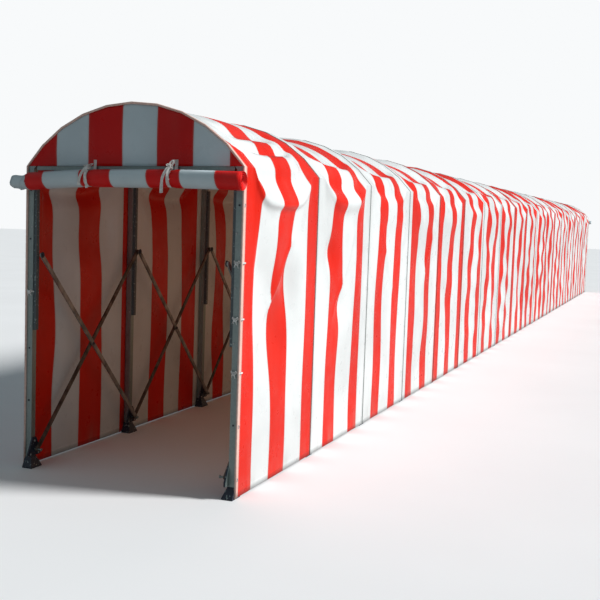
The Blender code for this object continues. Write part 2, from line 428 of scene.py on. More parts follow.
class Recipe:
    """A material's node tree while it is being put together."""

    def __init__(self, name: str) -> None:
        """Start a material with a Principled shader.

        Args:
            name: The material's name.
        """
        self.material = bpy.data.materials.new(name)
        self.material.use_nodes = True
        self.tree = self.material.node_tree
        self.shader = self.tree.nodes["Principled BSDF"]
        self.place = self.add("ShaderNodeTexCoord").outputs["Object"]

    def add(self, kind: str, **settings) -> bpy.types.Node:
        """Add a node.

        Args:
            kind: The node's type.
            **settings: Properties of the node, or values of its inputs by name.

        Returns:
            The new node.
        """
        node = self.tree.nodes.new(kind)
        for name, value in settings.items():
            if hasattr(node, name):
                setattr(node, name, value)
            else:
                node.inputs[name.replace("_", " ")].default_value = value
        return node

    def link(self, start: bpy.types.NodeSocket, end: bpy.types.NodeSocket) -> None:
        """Link an output to an input."""
        self.tree.links.new(start, end)

    def sums(self, operation: str, first: Value, second: Value | None = None) -> bpy.types.NodeSocket:
        """A Math node on sockets or numbers.

        Args:
            operation: What it does.
            first: Its first value, a socket or a number.
            second: Its second value, a socket or a number.

        Returns:
            The result's socket.
        """
        node = self.add("ShaderNodeMath", operation=operation)
        for socket, value in zip(node.inputs, (first, second)):
            if isinstance(value, bpy.types.NodeSocket):
                self.link(value, socket)
            elif value is not None:
                socket.default_value = value
        return node.outputs[0]

    def axes(self, vector: bpy.types.NodeSocket) -> bpy.types.bpy_prop_collection:
        """The sockets X, Y and Z of a vector's parts.

        Args:
            vector: The vector's socket.

        Returns:
            The sockets, by name.
        """
        split = self.add("ShaderNodeSeparateXYZ")
        self.link(vector, split.inputs[0])
        return split.outputs

    def noise(self, scale: float, detail: float, stretch: tuple = (1, 1, 1)) -> bpy.types.NodeSocket:
        """Noise over the piece's own place.

        Args:
            scale: How fine it is, in waves to the metre.
            detail: How many finer layers it has.
            stretch: A factor on each axis.

        Returns:
            The socket of its value, from 0 to 1.
        """
        mapping = self.add("ShaderNodeMapping")
        mapping.inputs["Scale"].default_value = stretch
        self.link(self.place, mapping.inputs["Vector"])
        texture = self.add("ShaderNodeTexNoise")
        texture.inputs["Scale"].default_value = scale
        texture.inputs["Detail"].default_value = detail
        self.link(mapping.outputs["Vector"], texture.inputs["Vector"])
        return texture.outputs["Fac"]

    def ramp(self, value: bpy.types.NodeSocket, stops: list) -> bpy.types.NodeSocket:
        """A colour ramp.

        Args:
            value: The socket that drives it.
            stops: Two pairs of a place from 0 to 1 and a colour.

        Returns:
            The colour's socket.
        """
        node = self.add("ShaderNodeValToRGB")
        for element, (spot, colour) in zip(node.color_ramp.elements, stops):
            element.position = spot
            element.color = (*colour, 1.0)
        self.link(value, node.inputs["Fac"])
        return node.outputs["Color"]

    def span(self, value: bpy.types.NodeSocket, low: float, high: float, start: float = 0.0,
             end: float = 1.0) -> bpy.types.NodeSocket:
        """Turn a range of a value into another range, easing in and out.

        Args:
            value: The socket that is read.
            low: The value that gives the start.
            high: The value that gives the end.
            start: The result at low.
            end: The result at high.

        Returns:
            The result's socket.
        """
        node = self.add("ShaderNodeMapRange")
        node.interpolation_type = "SMOOTHSTEP"
        self.link(value, node.inputs["Value"])
        for socket, number in zip(node.inputs[1:5], (low, high, start, end)):
            socket.default_value = number
        return node.outputs["Result"]

    def blend(self, amount: Value, first: Colour, second: Colour,
              kind: str = "MIX") -> bpy.types.NodeSocket:
        """Mix two colours.

        Args:
            amount: The share of the second, a socket or a number.
            first: The first colour, a socket or three numbers.
            second: The second colour, a socket or three numbers.
            kind: How they are mixed.

        Returns:
            The colour's socket.
        """
        node = self.add("ShaderNodeMix", data_type="RGBA", blend_type=kind)
        sockets = (node.inputs[0], node.inputs[6], node.inputs[7])
        for socket, value in zip(sockets, (amount, first, second)):
            if isinstance(value, bpy.types.NodeSocket):
                self.link(value, socket)
            elif isinstance(value, tuple):
                socket.default_value = (*value, 1.0)
            else:
                socket.default_value = value
        return node.outputs[2]

    def bump(self, height: bpy.types.NodeSocket, distance: float, strength: float) -> None:
        """Raise the surface by a height.

        Args:
            height: The socket of the height, from 0 to 1.
            distance: How far 1 stands out, in metres.
            strength: The share of it that shows.
        """
        node = self.add("ShaderNodeBump")
        node.inputs["Distance"].default_value = distance
        node.inputs["Strength"].default_value = strength
        self.link(height, node.inputs["Height"])
        before = self.shader.inputs["Normal"]
        if before.links:
            self.link(before.links[0].from_socket, node.inputs["Normal"])
        self.link(node.outputs["Normal"], before)


@dataclass(frozen=True)
class CoatedCloth:
    """Striped coated fabric, red and white in welded strips, with a soft gloss.

    The stripe coordinate of its UV map is red from an even number on and white from an odd one. The
    hem is the height of the hem's upper edge, and only the cover has one.
    """

    name: str = "striped coated cloth"
    red: tuple = (0.80, 0.014, 0.002)
    white: tuple = (0.80, 0.82, 0.81)
    dirt: tuple = (0.33, 0.30, 0.25)
    # Pale edge colour: it stands for the cream piping beside it, and partly for a painted highlight of the
    # red cloth's gloss.
    pale_edge_and_highlight: tuple = (0.84, 0.52, 0.44)
    thread: tuple = (0.55, 0.53, 0.50)
    gloss: tuple = (0.26, 0.42)
    shine: float = 0.24
    hem: float = 0.0
    weld_dirt: float = 0.16
    streak_dirt: float = 0.05
    splash_height: float = 0.22
    splash_dirt: float = 0.26
    base_threads: float = 130.0
    stitches: float = 140.0
    stitch_rows: tuple = (0.012, 0.020)
    stitch_width: tuple = (0.0008, 0.0014)
    stitch_share: float = 0.62
    lap: tuple = (0.024, 0.0255)

    def build(self) -> bpy.types.Material:
        """Put the fabric's material together.

        Returns:
            The material.
        """
        recipe = Recipe(self.name)
        stripe = recipe.axes(recipe.add("ShaderNodeUVMap", uv_map=CLOTH_MAP).outputs["UV"])["X"]
        height = recipe.axes(recipe.place)["Z"]
        weld = recipe.sums("ABSOLUTE", recipe.sums("SUBTRACT", recipe.sums("FRACT", stripe), 0.5))
        weld = recipe.span(weld, 0.455, 0.475)
        soil = self.soil(recipe, height)
        recipe.link(self.colour(recipe, stripe, weld, soil), recipe.shader.inputs["Base Color"])
        rough = recipe.span(recipe.noise(9.0, 3.0), 0.3, 0.7, *self.gloss)
        rough = recipe.sums("ADD", rough, recipe.sums("MULTIPLY", soil, 0.3))
        recipe.link(rough, recipe.shader.inputs["Roughness"])
        recipe.bump(recipe.noise(3.2, 2.0, (1, 1, 0.7)), 0.012, 0.45)
        recipe.bump(recipe.noise(15.0, 3.0, (1, 1, 0.6)), 0.0032, 0.55)
        recipe.bump(weld, 0.0010, 0.7)
        if self.hem:
            edge = recipe.span(height, self.hem - 0.004, self.hem + 0.001, 1.0, 0.0)
            recipe.bump(edge, 0.0016, 0.8)
        self.weave(recipe)
        if self.hem:
            self.stitch(recipe)
        recipe.shader.inputs["Specular IOR Level"].default_value = self.shine
        return recipe.material

    def soil(self, recipe: Recipe, height: bpy.types.NodeSocket) -> bpy.types.NodeSocket:
        """How dirty the cloth is: splashed above the ground, and a little streaky all over.

        Args:
            recipe: The material that is being made.
            height: The socket of the height above the ground.

        Returns:
            The socket of the dirt's share.
        """
        splash = recipe.span(height, 0.01, self.splash_height, self.splash_dirt, 0.0)
        streaks = recipe.span(recipe.noise(5.0, 5.0, (1, 1, 0.18)), 0.42, 0.75)
        low = recipe.sums("MULTIPLY", splash, streaks)
        return recipe.sums("ADD", low, recipe.sums("MULTIPLY", streaks, self.streak_dirt))

    def colour(self, recipe: Recipe, stripe: bpy.types.NodeSocket, weld: bpy.types.NodeSocket,
               soil: bpy.types.NodeSocket) -> bpy.types.NodeSocket:
        """The colour of the stripes, with the pale end edge that is partly a painted highlight, faded in
        places, darker at the welds and soiled.

        Args:
            recipe: The material that is being made.
            stripe: The socket of the stripe coordinate.
            weld: The socket that is 1 on a weld between two stripes.
            soil: The socket of the dirt's share.

        Returns:
            The colour's socket.
        """
        white = recipe.sums("MODULO", recipe.sums("FLOOR", stripe), 2.0)
        colour = recipe.blend(white, self.red, self.white)
        # Painted highlight: below 0 the cloth takes the pale edge colour, partly standing for the red
        # cloth's gloss at the end edge.
        colour = recipe.blend(recipe.sums("LESS_THAN", stripe, 0.0), colour, self.pale_edge_and_highlight)
        fade = recipe.span(recipe.noise(1.7, 5.0), 0.28, 0.72, 0.86, 1.03)
        colour = recipe.blend(1.0, colour, fade, "MULTIPLY")
        colour = recipe.blend(recipe.sums("MULTIPLY", weld, self.weld_dirt), colour, self.dirt)
        return recipe.blend(soil, colour, self.dirt)

    def weave(self, recipe: Recipe) -> None:
        """Let the threads of the base cloth show faintly through the coating.

        Args:
            recipe: The material that is being made.
        """
        threads = []
        for way in ("X", "Y", "Z"):
            bands = recipe.add("ShaderNodeTexWave", wave_type="BANDS", bands_direction=way)
            bands.inputs["Scale"].default_value = self.base_threads
            recipe.link(recipe.place, bands.inputs["Vector"])
            threads.append(bands.outputs["Fac"])
        grid = recipe.sums("ADD", recipe.sums("ADD", threads[0], threads[1]), threads[2])
        recipe.bump(grid, 0.00012, 0.3)

    def stitch(self, recipe: Recipe) -> None:
        """Sew a double row of stitches beside each hoop, where two bays of the cover meet.

        Args:
            recipe: The material that is being made.
        """
        spot = recipe.axes(recipe.add("ShaderNodeUVMap", uv_map=BAY_MAP).outputs["UV"])
        beside = recipe.sums("MINIMUM", spot["X"], recipe.sums("SUBTRACT", TENT.bay, spot["X"]))
        count = recipe.sums("MULTIPLY", spot["Y"], self.stitches)
        dash = recipe.sums("LESS_THAN", recipe.sums("FRACT", count), self.stitch_share)
        rows = []
        for row in self.stitch_rows:
            off = recipe.sums("ABSOLUTE", recipe.sums("SUBTRACT", beside, row))
            rows.append(recipe.span(off, *self.stitch_width, 1.0, 0.0))
        rows = recipe.sums("MAXIMUM", *rows)
        thread = recipe.sums("MULTIPLY", rows, dash)
        recipe.bump(recipe.span(beside, *self.lap, 1.0, 0.0), 0.0010, 0.8)
        recipe.bump(recipe.sums("MULTIPLY", rows, -1.0), 0.0008, 0.5)
        recipe.bump(thread, 0.0009, 0.8)
        base = recipe.shader.inputs["Base Color"]
        shown = recipe.sums("MULTIPLY", thread, 0.55)
        recipe.link(recipe.blend(shown, base.links[0].from_socket, self.thread), base)


@dataclass(frozen=True)
class Galvanised:
    """Hot-dip galvanised steel that has gone dull, with dark painted shoes, darker brackets and painted
    shade on the rails inside the posts.
    """

    name: str = "galvanised tube"
    zinc: tuple = (0.255, 0.315, 0.305)
    pale: tuple = (0.38, 0.44, 0.425)
    # Dark coat of the shoes, also used for the darker brackets and as painted shade on the rails.
    dark_paint_and_shade: tuple = (0.020, 0.026, 0.045)
    painted: bool = True
    metallic: float = 0.85
    crystals: float = 95.0
    shoe_top: float = 0.0752
    bracket_top: float = 0.2055
    bracket_depth: float = 0.0125
    # How strongly the rail inside each post gets the painted shade.
    rail_ends: tuple = (0.93, 1.97)
    rail_shade_share: float = 0.75

    def build(self) -> bpy.types.Material:
        """Put the steel's material together.

        Returns:
            The material.
        """
        recipe = Recipe(self.name)
        cells = recipe.add("ShaderNodeTexVoronoi")
        cells.inputs["Scale"].default_value = self.crystals
        recipe.link(recipe.place, cells.inputs["Vector"])
        grain = recipe.add("ShaderNodeSeparateColor")
        recipe.link(cells.outputs["Color"], grain.inputs[0])
        cloud = recipe.noise(7.0, 4.0)
        mixed = recipe.sums("ADD", recipe.sums("MULTIPLY", grain.outputs[0], 0.35), cloud)
        colour = recipe.ramp(mixed, [(0.3, self.zinc), (0.95, self.pale)])
        rough = recipe.span(mixed, 0.3, 1.0, 0.36, 0.58)
        if self.painted:
            dark = self.dark_parts(recipe)
            chips = recipe.span(recipe.noise(60.0, 4.0), 0.60, 0.66)
            dark = recipe.sums("MULTIPLY", dark, recipe.sums("SUBTRACT", 1.0, chips))
            # The dark colour here is the shoes' dark coat, the darker brackets and the painted shade on the
            # rails.
            colour = recipe.blend(dark, colour, self.dark_paint_and_shade)
            metal = recipe.sums("MULTIPLY", recipe.sums("SUBTRACT", 1.0, dark), self.metallic)
            recipe.link(metal, recipe.shader.inputs["Metallic"])
        else:
            recipe.shader.inputs["Metallic"].default_value = self.metallic
        recipe.link(colour, recipe.shader.inputs["Base Color"])
        recipe.link(rough, recipe.shader.inputs["Roughness"])
        recipe.bump(recipe.noise(180.0, 2.0), 0.0002, 0.3)
        return recipe.material

    def dark_parts(self, recipe: Recipe) -> bpy.types.NodeSocket:
        """Where the steel is darkened: the shoe painted dark, the bracket darker, and painted shade on the
        rail inside the post at a share of its strength.

        Args:
            recipe: The material that is being made.

        Returns:
            A socket that is 1 there and 0 elsewhere.
        """
        place = recipe.axes(recipe.place)
        wide = recipe.sums("ABSOLUTE", place["X"])
        shoe = recipe.sums("LESS_THAN", place["Z"], self.shoe_top)
        low = recipe.sums("LESS_THAN", place["Z"], self.bracket_top)
        inside = recipe.sums("LESS_THAN", wide, TENT.post_inside - 0.0002)
        outside = recipe.sums("GREATER_THAN", wide, TENT.post_inside - self.bracket_depth)
        bracket = recipe.sums("MULTIPLY", recipe.sums("MULTIPLY", low, inside), outside)
        # Painted shade: the rail inside the post is darkened to stand for the shade that falls on it.
        above = recipe.sums("GREATER_THAN", place["Z"], self.rail_ends[0])
        below = recipe.sums("LESS_THAN", place["Z"], self.rail_ends[1])
        rail = recipe.sums("MULTIPLY", recipe.sums("MULTIPLY", above, below), inside)
        feet = recipe.sums("MAXIMUM", shoe, bracket)
        return recipe.sums("MAXIMUM", feet, recipe.sums("MULTIPLY", rail, self.rail_shade_share))


@dataclass(frozen=True)
class BarSteel:
    """Flat brace steel, worn where the bars rub."""

    name: str
    base: tuple
    worn: tuple
    metallic: float = 0.55

    def build(self) -> bpy.types.Material:
        """Put the steel's material together.

        Returns:
            The material.
        """
        recipe = Recipe(self.name)
        cloud = recipe.noise(14.0, 6.0)
        colour = recipe.ramp(cloud, [(0.36, self.base), (0.66, self.worn)])
        recipe.link(colour, recipe.shader.inputs["Base Color"])
        recipe.link(recipe.span(cloud, 0.3, 0.7, 0.62, 0.42), recipe.shader.inputs["Roughness"])
        recipe.shader.inputs["Metallic"].default_value = self.metallic
        recipe.bump(recipe.noise(240.0, 3.0), 0.0002, 0.4)
        return recipe.material


@dataclass(frozen=True)
class PlainCloth:
    """Woven tape, cord or piping of one colour."""

    name: str
    colour: tuple
    shade: tuple
    roughness: float = 0.8
    threads: float = 520.0

    def build(self) -> bpy.types.Material:
        """Put the tape's material together.

        Returns:
            The material.
        """
        recipe = Recipe(self.name)
        cloud = recipe.noise(45.0, 4.0)
        colour = recipe.ramp(cloud, [(0.32, self.shade), (0.62, self.colour)])
        recipe.link(colour, recipe.shader.inputs["Base Color"])
        recipe.link(recipe.span(cloud, 0.3, 0.7, self.roughness, self.roughness * 0.85),
                    recipe.shader.inputs["Roughness"])
        recipe.bump(recipe.noise(self.threads, 1.0), 0.0004, 0.5)
        return recipe.material


class Finish(Enum):
    """The finishes of the tent, each made once."""

    COVER = CoatedCloth(hem=0.050)
    # Painted shade: the gable and curtain cloth is the cover's cloth made darker and bluer, as it looks in
    # shade; the real cloth is likely the same as the cover's.
    GABLE = CoatedCloth("striped gable cloth in painted shade", red=(0.63, 0.007, 0.006), white=(0.62, 0.72, 0.76))
    CURTAIN = CoatedCloth("striped curtain cloth in painted shade", red=(0.76, 0.007, 0.007), white=(0.64, 0.74, 0.77),
                          gloss=(0.3, 0.48))
    HOOP = Galvanised()
    CROSSBAR = Galvanised("galvanised crossbar", painted=False)
    BOLT = Galvanised("zinc bolts", zinc=(0.42, 0.43, 0.43), pale=(0.55, 0.56, 0.55), painted=False)
    BAR_DARK = BarSteel("brown brace steel", (0.075, 0.050, 0.038), (0.20, 0.155, 0.125))
    BAR_LIGHT = BarSteel("grey brace steel", (0.21, 0.20, 0.185), (0.42, 0.40, 0.37), 0.7)
    PAINTED = BarSteel("dark painted steel", (0.018, 0.022, 0.034), (0.05, 0.055, 0.07), 0.2)
    TAPE = PlainCloth("white tape", (0.80, 0.79, 0.76), (0.55, 0.52, 0.48))
    LACE = PlainCloth("white lace", (0.86, 0.86, 0.84), (0.62, 0.61, 0.58))
    PIPING = PlainCloth("cream piping", (0.84, 0.60, 0.52), (0.74, 0.48, 0.40), 0.45)
    # Painted shade: the seam cord's dark grey-green stands for the shadow line along each seam.
    SEAM = PlainCloth("seam cord dark with painted shade", (0.16, 0.20, 0.18), (0.07, 0.095, 0.085), 0.5)

    @property
    def material(self) -> bpy.types.Material:
        """The finish's material, made at its first use."""
        found = bpy.data.materials.get(self.value.name)
        return found or self.value.build()

    def dress(self, piece: bpy.types.Object) -> bpy.types.Object:
        """Give a piece this finish alone.

        Args:
            piece: The piece.

        Returns:
            The same piece.
        """
        piece.data.materials.clear()
        piece.data.materials.append(self.material)
        return piece


@dataclass
class Studio:
    """The camera, the pale floor and the soft light.

    Each sun is given by its rotation in degrees, its strength and its width in degrees.
    """

    eye: tuple = (3.1763, -17.1048, 1.7063)
    turn: tuple = (1.4875, -0.0271, 0.4424)
    lens: float = 58.76
    shift: tuple = (0.135, 0.0036)
    floor_size: float = 160.0
    floor_seen: tuple = ((0.86, 0.86, 0.86), (0.89, 0.89, 0.89))
    floor_bounce: tuple = (0.34, 0.34, 0.34)
    key_sun: tuple = ((58, 0, 110), 4.35, 14)
    fill_sun: tuple = ((40, 0, -35), 0.12, 70)
    sky_light: tuple = (0.138, 0.174, 0.194)
    sky_seen: tuple = (0.94, 0.955, 0.965)
    glow_power: float = 26.0
    glow_colour: tuple = (1.0, 0.66, 0.42)
    glow_place: tuple = (0.66, 0.0, 1.10)
    glow_size: tuple = (1.7, TENT.bays * TENT.bay - 0.4)

    def build(self) -> None:
        """Set up the camera, the floor and the lights."""
        data = bpy.data.cameras.new("camera")
        data.lens = self.lens
        data.sensor_width = 36.0
        data.shift_x, data.shift_y = self.shift
        data.clip_end = 400.0
        camera = Bench.place("camera", data)
        camera.location = self.eye
        camera.rotation_euler = self.turn
        bpy.context.scene.camera = camera
        self.lay_floor()
        self.hang_sun("key", *self.key_sun)
        self.hang_sun("fill", *self.fill_sun)
        self.glow()
        self.hang_sky()
        bpy.context.scene.view_settings.view_transform = "Standard"

    def hang_sky(self) -> None:
        """Put a pale sky behind the tent, which lights it as a dimmer and bluer one."""
        world = bpy.data.worlds.new("studio")
        world.use_nodes = True
        sky = world.node_tree.nodes["Background"]
        path = world.node_tree.nodes.new("ShaderNodeLightPath")
        shade = world.node_tree.nodes.new("ShaderNodeValToRGB")
        for element, colour in zip(shade.color_ramp.elements, (self.sky_light, self.sky_seen)):
            element.color = (*colour, 1)
        world.node_tree.links.new(path.outputs["Is Camera Ray"], shade.inputs["Fac"])
        world.node_tree.links.new(shade.outputs["Color"], sky.inputs["Color"])
        bpy.context.scene.world = world

    def lay_floor(self) -> None:
        """Lay the pale floor under the tent."""
        Bench.clear()
        bpy.ops.mesh.primitive_plane_add(size=self.floor_size, location=(0, 0, 0))
        floor = bpy.context.object
        floor.name = "floor"
        recipe = Recipe("pale floor")
        seen = recipe.add("ShaderNodeLightPath").outputs["Is Camera Ray"]
        pale = recipe.ramp(recipe.noise(0.6, 2.0), list(zip((0.3, 0.7), self.floor_seen)))
        recipe.link(recipe.blend(seen, self.floor_bounce, pale), recipe.shader.inputs["Base Color"])
        recipe.shader.inputs["Roughness"].default_value = 0.9
        floor.data.materials.append(recipe.material)

    def glow(self) -> None:
        """Hang the warm light inside the tunnel that stands for the sun coming through its right wall."""
        data = bpy.data.lights.new("glow", "AREA")
        data.shape = "RECTANGLE"
        data.size, data.size_y = self.glow_size
        data.energy = self.glow_power
        data.color = self.glow_colour
        lamp = Bench.place("glow", data)
        lamp.location = self.glow_place
        lamp.rotation_euler = (0, math.radians(90), 0)
        lamp.visible_camera = False

    @staticmethod
    def hang_sun(name: str, turn: tuple, strength: float, angle: float) -> None:
        """Add a wide soft sun.

        Args:
            name: Its name.
            turn: Its rotation, in degrees.
            strength: Its strength.
            angle: How wide it is, in degrees.
        """
        data = bpy.data.lights.new(name, "SUN")
        data.energy = strength
        data.angle = math.radians(angle)
        lamp = Bench.place(name, data)
        lamp.rotation_euler = [math.radians(part) for part in turn]


@dataclass(frozen=True)
class Crease:
    """A ridge across a wall of a bay, from one point to another, as (along the bay, height)."""

    start: tuple
    end: tuple
    height: float
    width: float

    def rise(self, along: np.ndarray, high: np.ndarray) -> np.ndarray:
        """How far the ridge stands out.

        Args:
            along: The distance from the bay's front hoop, in metres.
            high: The height above the ground.

        Returns:
            The distance that each point moves outward.
        """
        run = np.array([self.end[0] - self.start[0], self.end[1] - self.start[1]])
        length = math.hypot(*run)
        run = run / length
        beside = (along - self.start[0]) * run[1] - (high - self.start[1]) * run[0]
        reach = ((along - self.start[0]) * run[0] + (high - self.start[1]) * run[1]) / length
        ends = np.clip(np.minimum(reach, 1 - reach) / 0.25 + 0.2, 0, 1)
        return self.height * ends * ends * (3 - 2 * ends) / (1 + (beside / self.width) ** 2)


@dataclass(frozen=True)
class Bulge:
    """A soft swelling or hollow of a wall, about a point given as (along the bay, height)."""

    place: tuple
    reach: tuple
    height: float

    def rise(self, along: np.ndarray, high: np.ndarray) -> np.ndarray:
        """How far the swelling stands out.

        Args:
            along: The distance from the bay's front hoop, in metres.
            high: The height above the ground.

        Returns:
            The distance that each point moves outward.
        """
        near = ((along - self.place[0]) / self.reach[0]) ** 2
        near = near + ((high - self.place[1]) / self.reach[1]) ** 2
        return self.height * np.exp(-near)


@dataclass
class CoverLine:
    """The line that the cover follows, over a hoop or in the slack between two.

    In the slack, the wall and the elbow are given as how far out they stand and how high, the
    shoulder as X and Z, and the crown as shares of the arch's half angle with the drop there.
    """

    outward: float = 0.004
    crown: tuple = ((0.8, 0.031), (0.6, 0.039), (0.4, 0.045), (0.2, 0.049), (0.0, 0.050))
    shoulder: tuple = ((0.773, 1.962), (0.762, 2.050), (0.716, 2.127))
    elbow: tuple = (0.032, 1.870)
    wall: tuple = ((0.0, 0.70), (0.0, 1.20), (0.010, 1.60), (0.024, 1.76))

    def arch(self) -> tuple[float, float, float, float]:
        """The arch of the roof over a hoop.

        Returns:
            Its half width, its radius, the height of its centre and its half angle.
        """
        half, rise = TENT.hoop_half + self.outward, TENT.hoop_rise + self.outward
        radius = (half**2 + rise**2) / (2 * rise)
        centre = TENT.eave + rise - radius
        return half, radius, centre, math.atan2(half, TENT.eave - centre)

    @staticmethod
    def along(line: np.ndarray, shares: np.ndarray) -> np.ndarray:
        """The points at some shares of a line's length.

        Args:
            line: The line's corners.
            shares: The shares, from 0 to 1.

        Returns:
            The points.
        """
        lengths = np.concatenate([[0], np.cumsum(np.hypot(*np.diff(line, axis=0).T))])
        spots = shares * lengths[-1]
        return np.stack([np.interp(spots, lengths, line[:, 0]), np.interp(spots, lengths, line[:, 1])], 1)

    def over_hoop(self, wall: np.ndarray, roof: np.ndarray) -> np.ndarray:
        """The right half of the line over a hoop, from the hem up to the crown.

        Args:
            wall: Where the wall's points are, from 0 at the hem to 1 at the eave.
            roof: Where the roof's points are, from 0 at the eave to 1 at the crown.

        Returns:
            The points as X and Z.
        """
        half, radius, centre, corner = self.arch()
        turns = corner * (1 - 2 * np.arange(TENT.arch_steps // 2 + 1) / TENT.arch_steps)
        facets = np.stack([radius * np.sin(turns), centre + radius * np.cos(turns)], axis=1)
        post = np.array([(half, TENT.hem), (half, TENT.eave)])
        return np.vstack([self.along(post, wall), self.along(facets, roof)[1:]])

    def in_slack(self, wall: np.ndarray, roof: np.ndarray) -> np.ndarray:
        """The right half of the line in the middle of a bay, where it hangs slack.

        Args:
            wall: Where the wall's points are, from 0 at the hem to 1 at the elbow.
            roof: Where the roof's points are, from 0 at the elbow to 1 at the crown.

        Returns:
            The points as X and Z.
        """
        half, radius, centre, corner = self.arch()
        side = [(half, TENT.hem, 0)] + [(half + out, z, 0) for out, z in self.wall]
        elbow = (half + self.elbow[0], self.elbow[1], 0)
        spots = [(corner * share, radius - drop) for share, drop in self.crown]
        crown = [(reach * math.sin(turn), centre + reach * math.cos(turn), 0) for turn, reach in spots]
        over = [(x + self.outward * 0.8, z + self.outward * 0.6, 0) for x, z in self.shoulder]
        steps = 14
        line = np.array([tuple(p)[:2] for p in smooth_line([*side, elbow, *over, *crown], steps)])
        bend = len(side) * steps
        return np.vstack([self.along(line[:bend + 1], wall), self.along(line[bend:], roof)[1:]])


@dataclass
class CoverBay:
    """One bay of the cover: a sheet from hem to hem, slack between its two hoops.

    The strips are the widths of the cover's stripes in metres, from the front end on: those of the
    first bays on the right wall and on the left one, and the pair that repeats after them. Beside
    each hoop a share of the bay is taut. The skew moves the slack along the bay, run_out is where on
    the roof the tent's first strip narrows, and crumple is the share of the small folds.
    """

    index: int
    columns: int
    wall_steps: int
    roof_steps: int
    thickness: float = 0.002
    taut: float = 0.105
    creases: dict = field(default_factory=dict)
    elbows: dict = field(default_factory=dict)
    skew: float = 1.0
    crown: tuple = CoverLine.crown
    # The width of the pale edge strip, partly a painted highlight of the red cloth's gloss.
    edge_band: float = 0.014
    first_strips: tuple = (
        0.22, 0.29, 0.27, 0.31, 0.21, 0.28, 0.26, 0.36, 0.21, 0.44, 0.23, 0.30, 0.23, 0.41,
    )
    left_strips: tuple = (
        0.285, 0.335, 0.295, 0.295, 0.18, 0.29, 0.275, 0.265, 0.27, 0.40, 0.23, 0.30, 0.23, 0.40,
    )
    later_strips: tuple = (0.235, 0.338)
    run_out: tuple = (0.06, 0.23)
    chance_elbow: tuple = ((0.012, 0.034), (1.85, 1.90))
    chance_skew: tuple = (0.85, 1.18)
    fullness: float = 3.6
    half_roof: float = 0.92
    hem_to_hem: float = 5.9
    crumple: float = 0.0
    ripple: float = 0.009
    swell: float = 0.010
    roof_ripple: float = 0.006
    drift: float = 0.016
    seam_gap: float = 0.0005

    @property
    def name(self) -> str:
        """The piece's name."""
        return f"cover_bay_{self.index + 1:02d}"

    def slack(self, along: np.ndarray, skew: float) -> np.ndarray:
        """The share of the full slack at each place along the bay.

        Args:
            along: The place along the bay, from 0 to 1.
            skew: Where the cloth hangs lowest: below 1 towards the front, above 1 towards the rear.

        Returns:
            The share, 0 over the hoops.
        """
        inside = np.clip((along - self.taut) / (1 - 2 * self.taut), 0, 1) ** skew
        return 1 - np.abs(2 * inside - 1) ** self.fullness

    def loose(self, along: np.ndarray) -> np.ndarray:
        """How free the cloth is to wrinkle at each place along the bay."""
        near = np.clip(np.minimum(along - self.taut + 0.005, 1.005 - self.taut - along) / 0.12, 0, 1)
        return near * near * (3 - 2 * near)

    @staticmethod
    def waves(along: np.ndarray, away: np.ndarray, seed: int, reach: tuple,
              drop: float = 0.9) -> np.ndarray:
        """Uneven low waves over the cloth.

        Args:
            along: The place along the bay, from 0 to 1.
            away: The distance from the eave.
            seed: The seed of the unevenness.
            reach: The least and most waves across the bay.
            drop: The most waves in a metre from the eave down.

        Returns:
            The waves' height, about from -1 to 1.
        """
        chance = np.random.default_rng(seed)
        total = np.zeros(np.broadcast(along, away).shape)
        for _ in range(7):
            across, down = chance.uniform(*reach), chance.uniform(-drop, drop)
            phase = chance.uniform(0, 2 * math.pi)
            total += np.sin(2 * math.pi * (across * along + down * away) + phase)
        return total / 3.2

    @staticmethod
    def fans(along: np.ndarray, away: np.ndarray, seed: int) -> np.ndarray:
        """Creases that fan out from the two upper corners of the bay.

        Args:
            along: The place along the bay, from 0 to 1.
            away: The distance from the eave.
            seed: The seed of the fans.

        Returns:
            The creases' height in metres.
        """
        chance = np.random.default_rng(seed)
        total = np.zeros(np.broadcast(along, away).shape)
        for corner in (0.0, 1.0):
            side = np.abs(along - corner) * TENT.bay
            far = np.hypot(side, away)
            turn = np.arctan2(away, side)
            count, phase = chance.uniform(6, 9), chance.uniform(0, 2 * math.pi)
            ridge = np.abs(np.sin(count * turn / 2 + phase)) - 0.6
            total += chance.uniform(0.010, 0.016) * ridge * far * 4 * np.exp(-far / 0.28)
        return total

    def places(self) -> np.ndarray:
        """The places along the bay, from 0 to 1, where the sheet has a row of points.

        Returns:
            The places, with those of the flap over an end hoop.
        """
        ends = np.linspace(0, self.taut, 4)[:-1]
        middle = np.linspace(self.taut, 1 - self.taut, self.columns - 5)
        along = np.concatenate([ends, middle, 1 - ends[:0:-1], [1 - self.seam_gap / TENT.bay]])
        flap = TENT.tube / 2 / TENT.bay
        if self.index == 0:
            along = np.concatenate([[-flap, 0, self.edge_band / TENT.bay], along[1:]])
        if self.index == TENT.bays - 1:
            along = np.concatenate([along, [1 + flap]])
        return along

    def build(self) -> bpy.types.Object:
        """Model the sheet, give it its thickness and its stripes.

        Returns:
            The sheet.
        """
        start = TENT.hoop_y(self.index)
        along = self.places()
        wall = np.sin(np.linspace(0, math.pi / 2, self.wall_steps + 1))
        roof = np.linspace(0, 1, self.roof_steps + 1) ** 1.25
        away = np.concatenate([TENT.eave * (wall - 1), self.half_roof * roof[1:]])[None]
        chance = np.random.default_rng(400 + self.index)
        sides = {}
        for side in (1, -1):
            elbow = tuple(chance.uniform(*reach) for reach in self.chance_elbow)
            line = CoverLine(elbow=self.elbows.get(side, elbow), crown=self.crown)
            taut, loose = line.over_hoop(wall, roof), line.in_slack(wall, roof)
            share = self.slack(along, self.skew * chance.uniform(*self.chance_skew))[:, None, None]
            flat = taut + share * (loose - taut)
            sides[side] = self.wrinkle(flat, away, along[:, None], side, start)
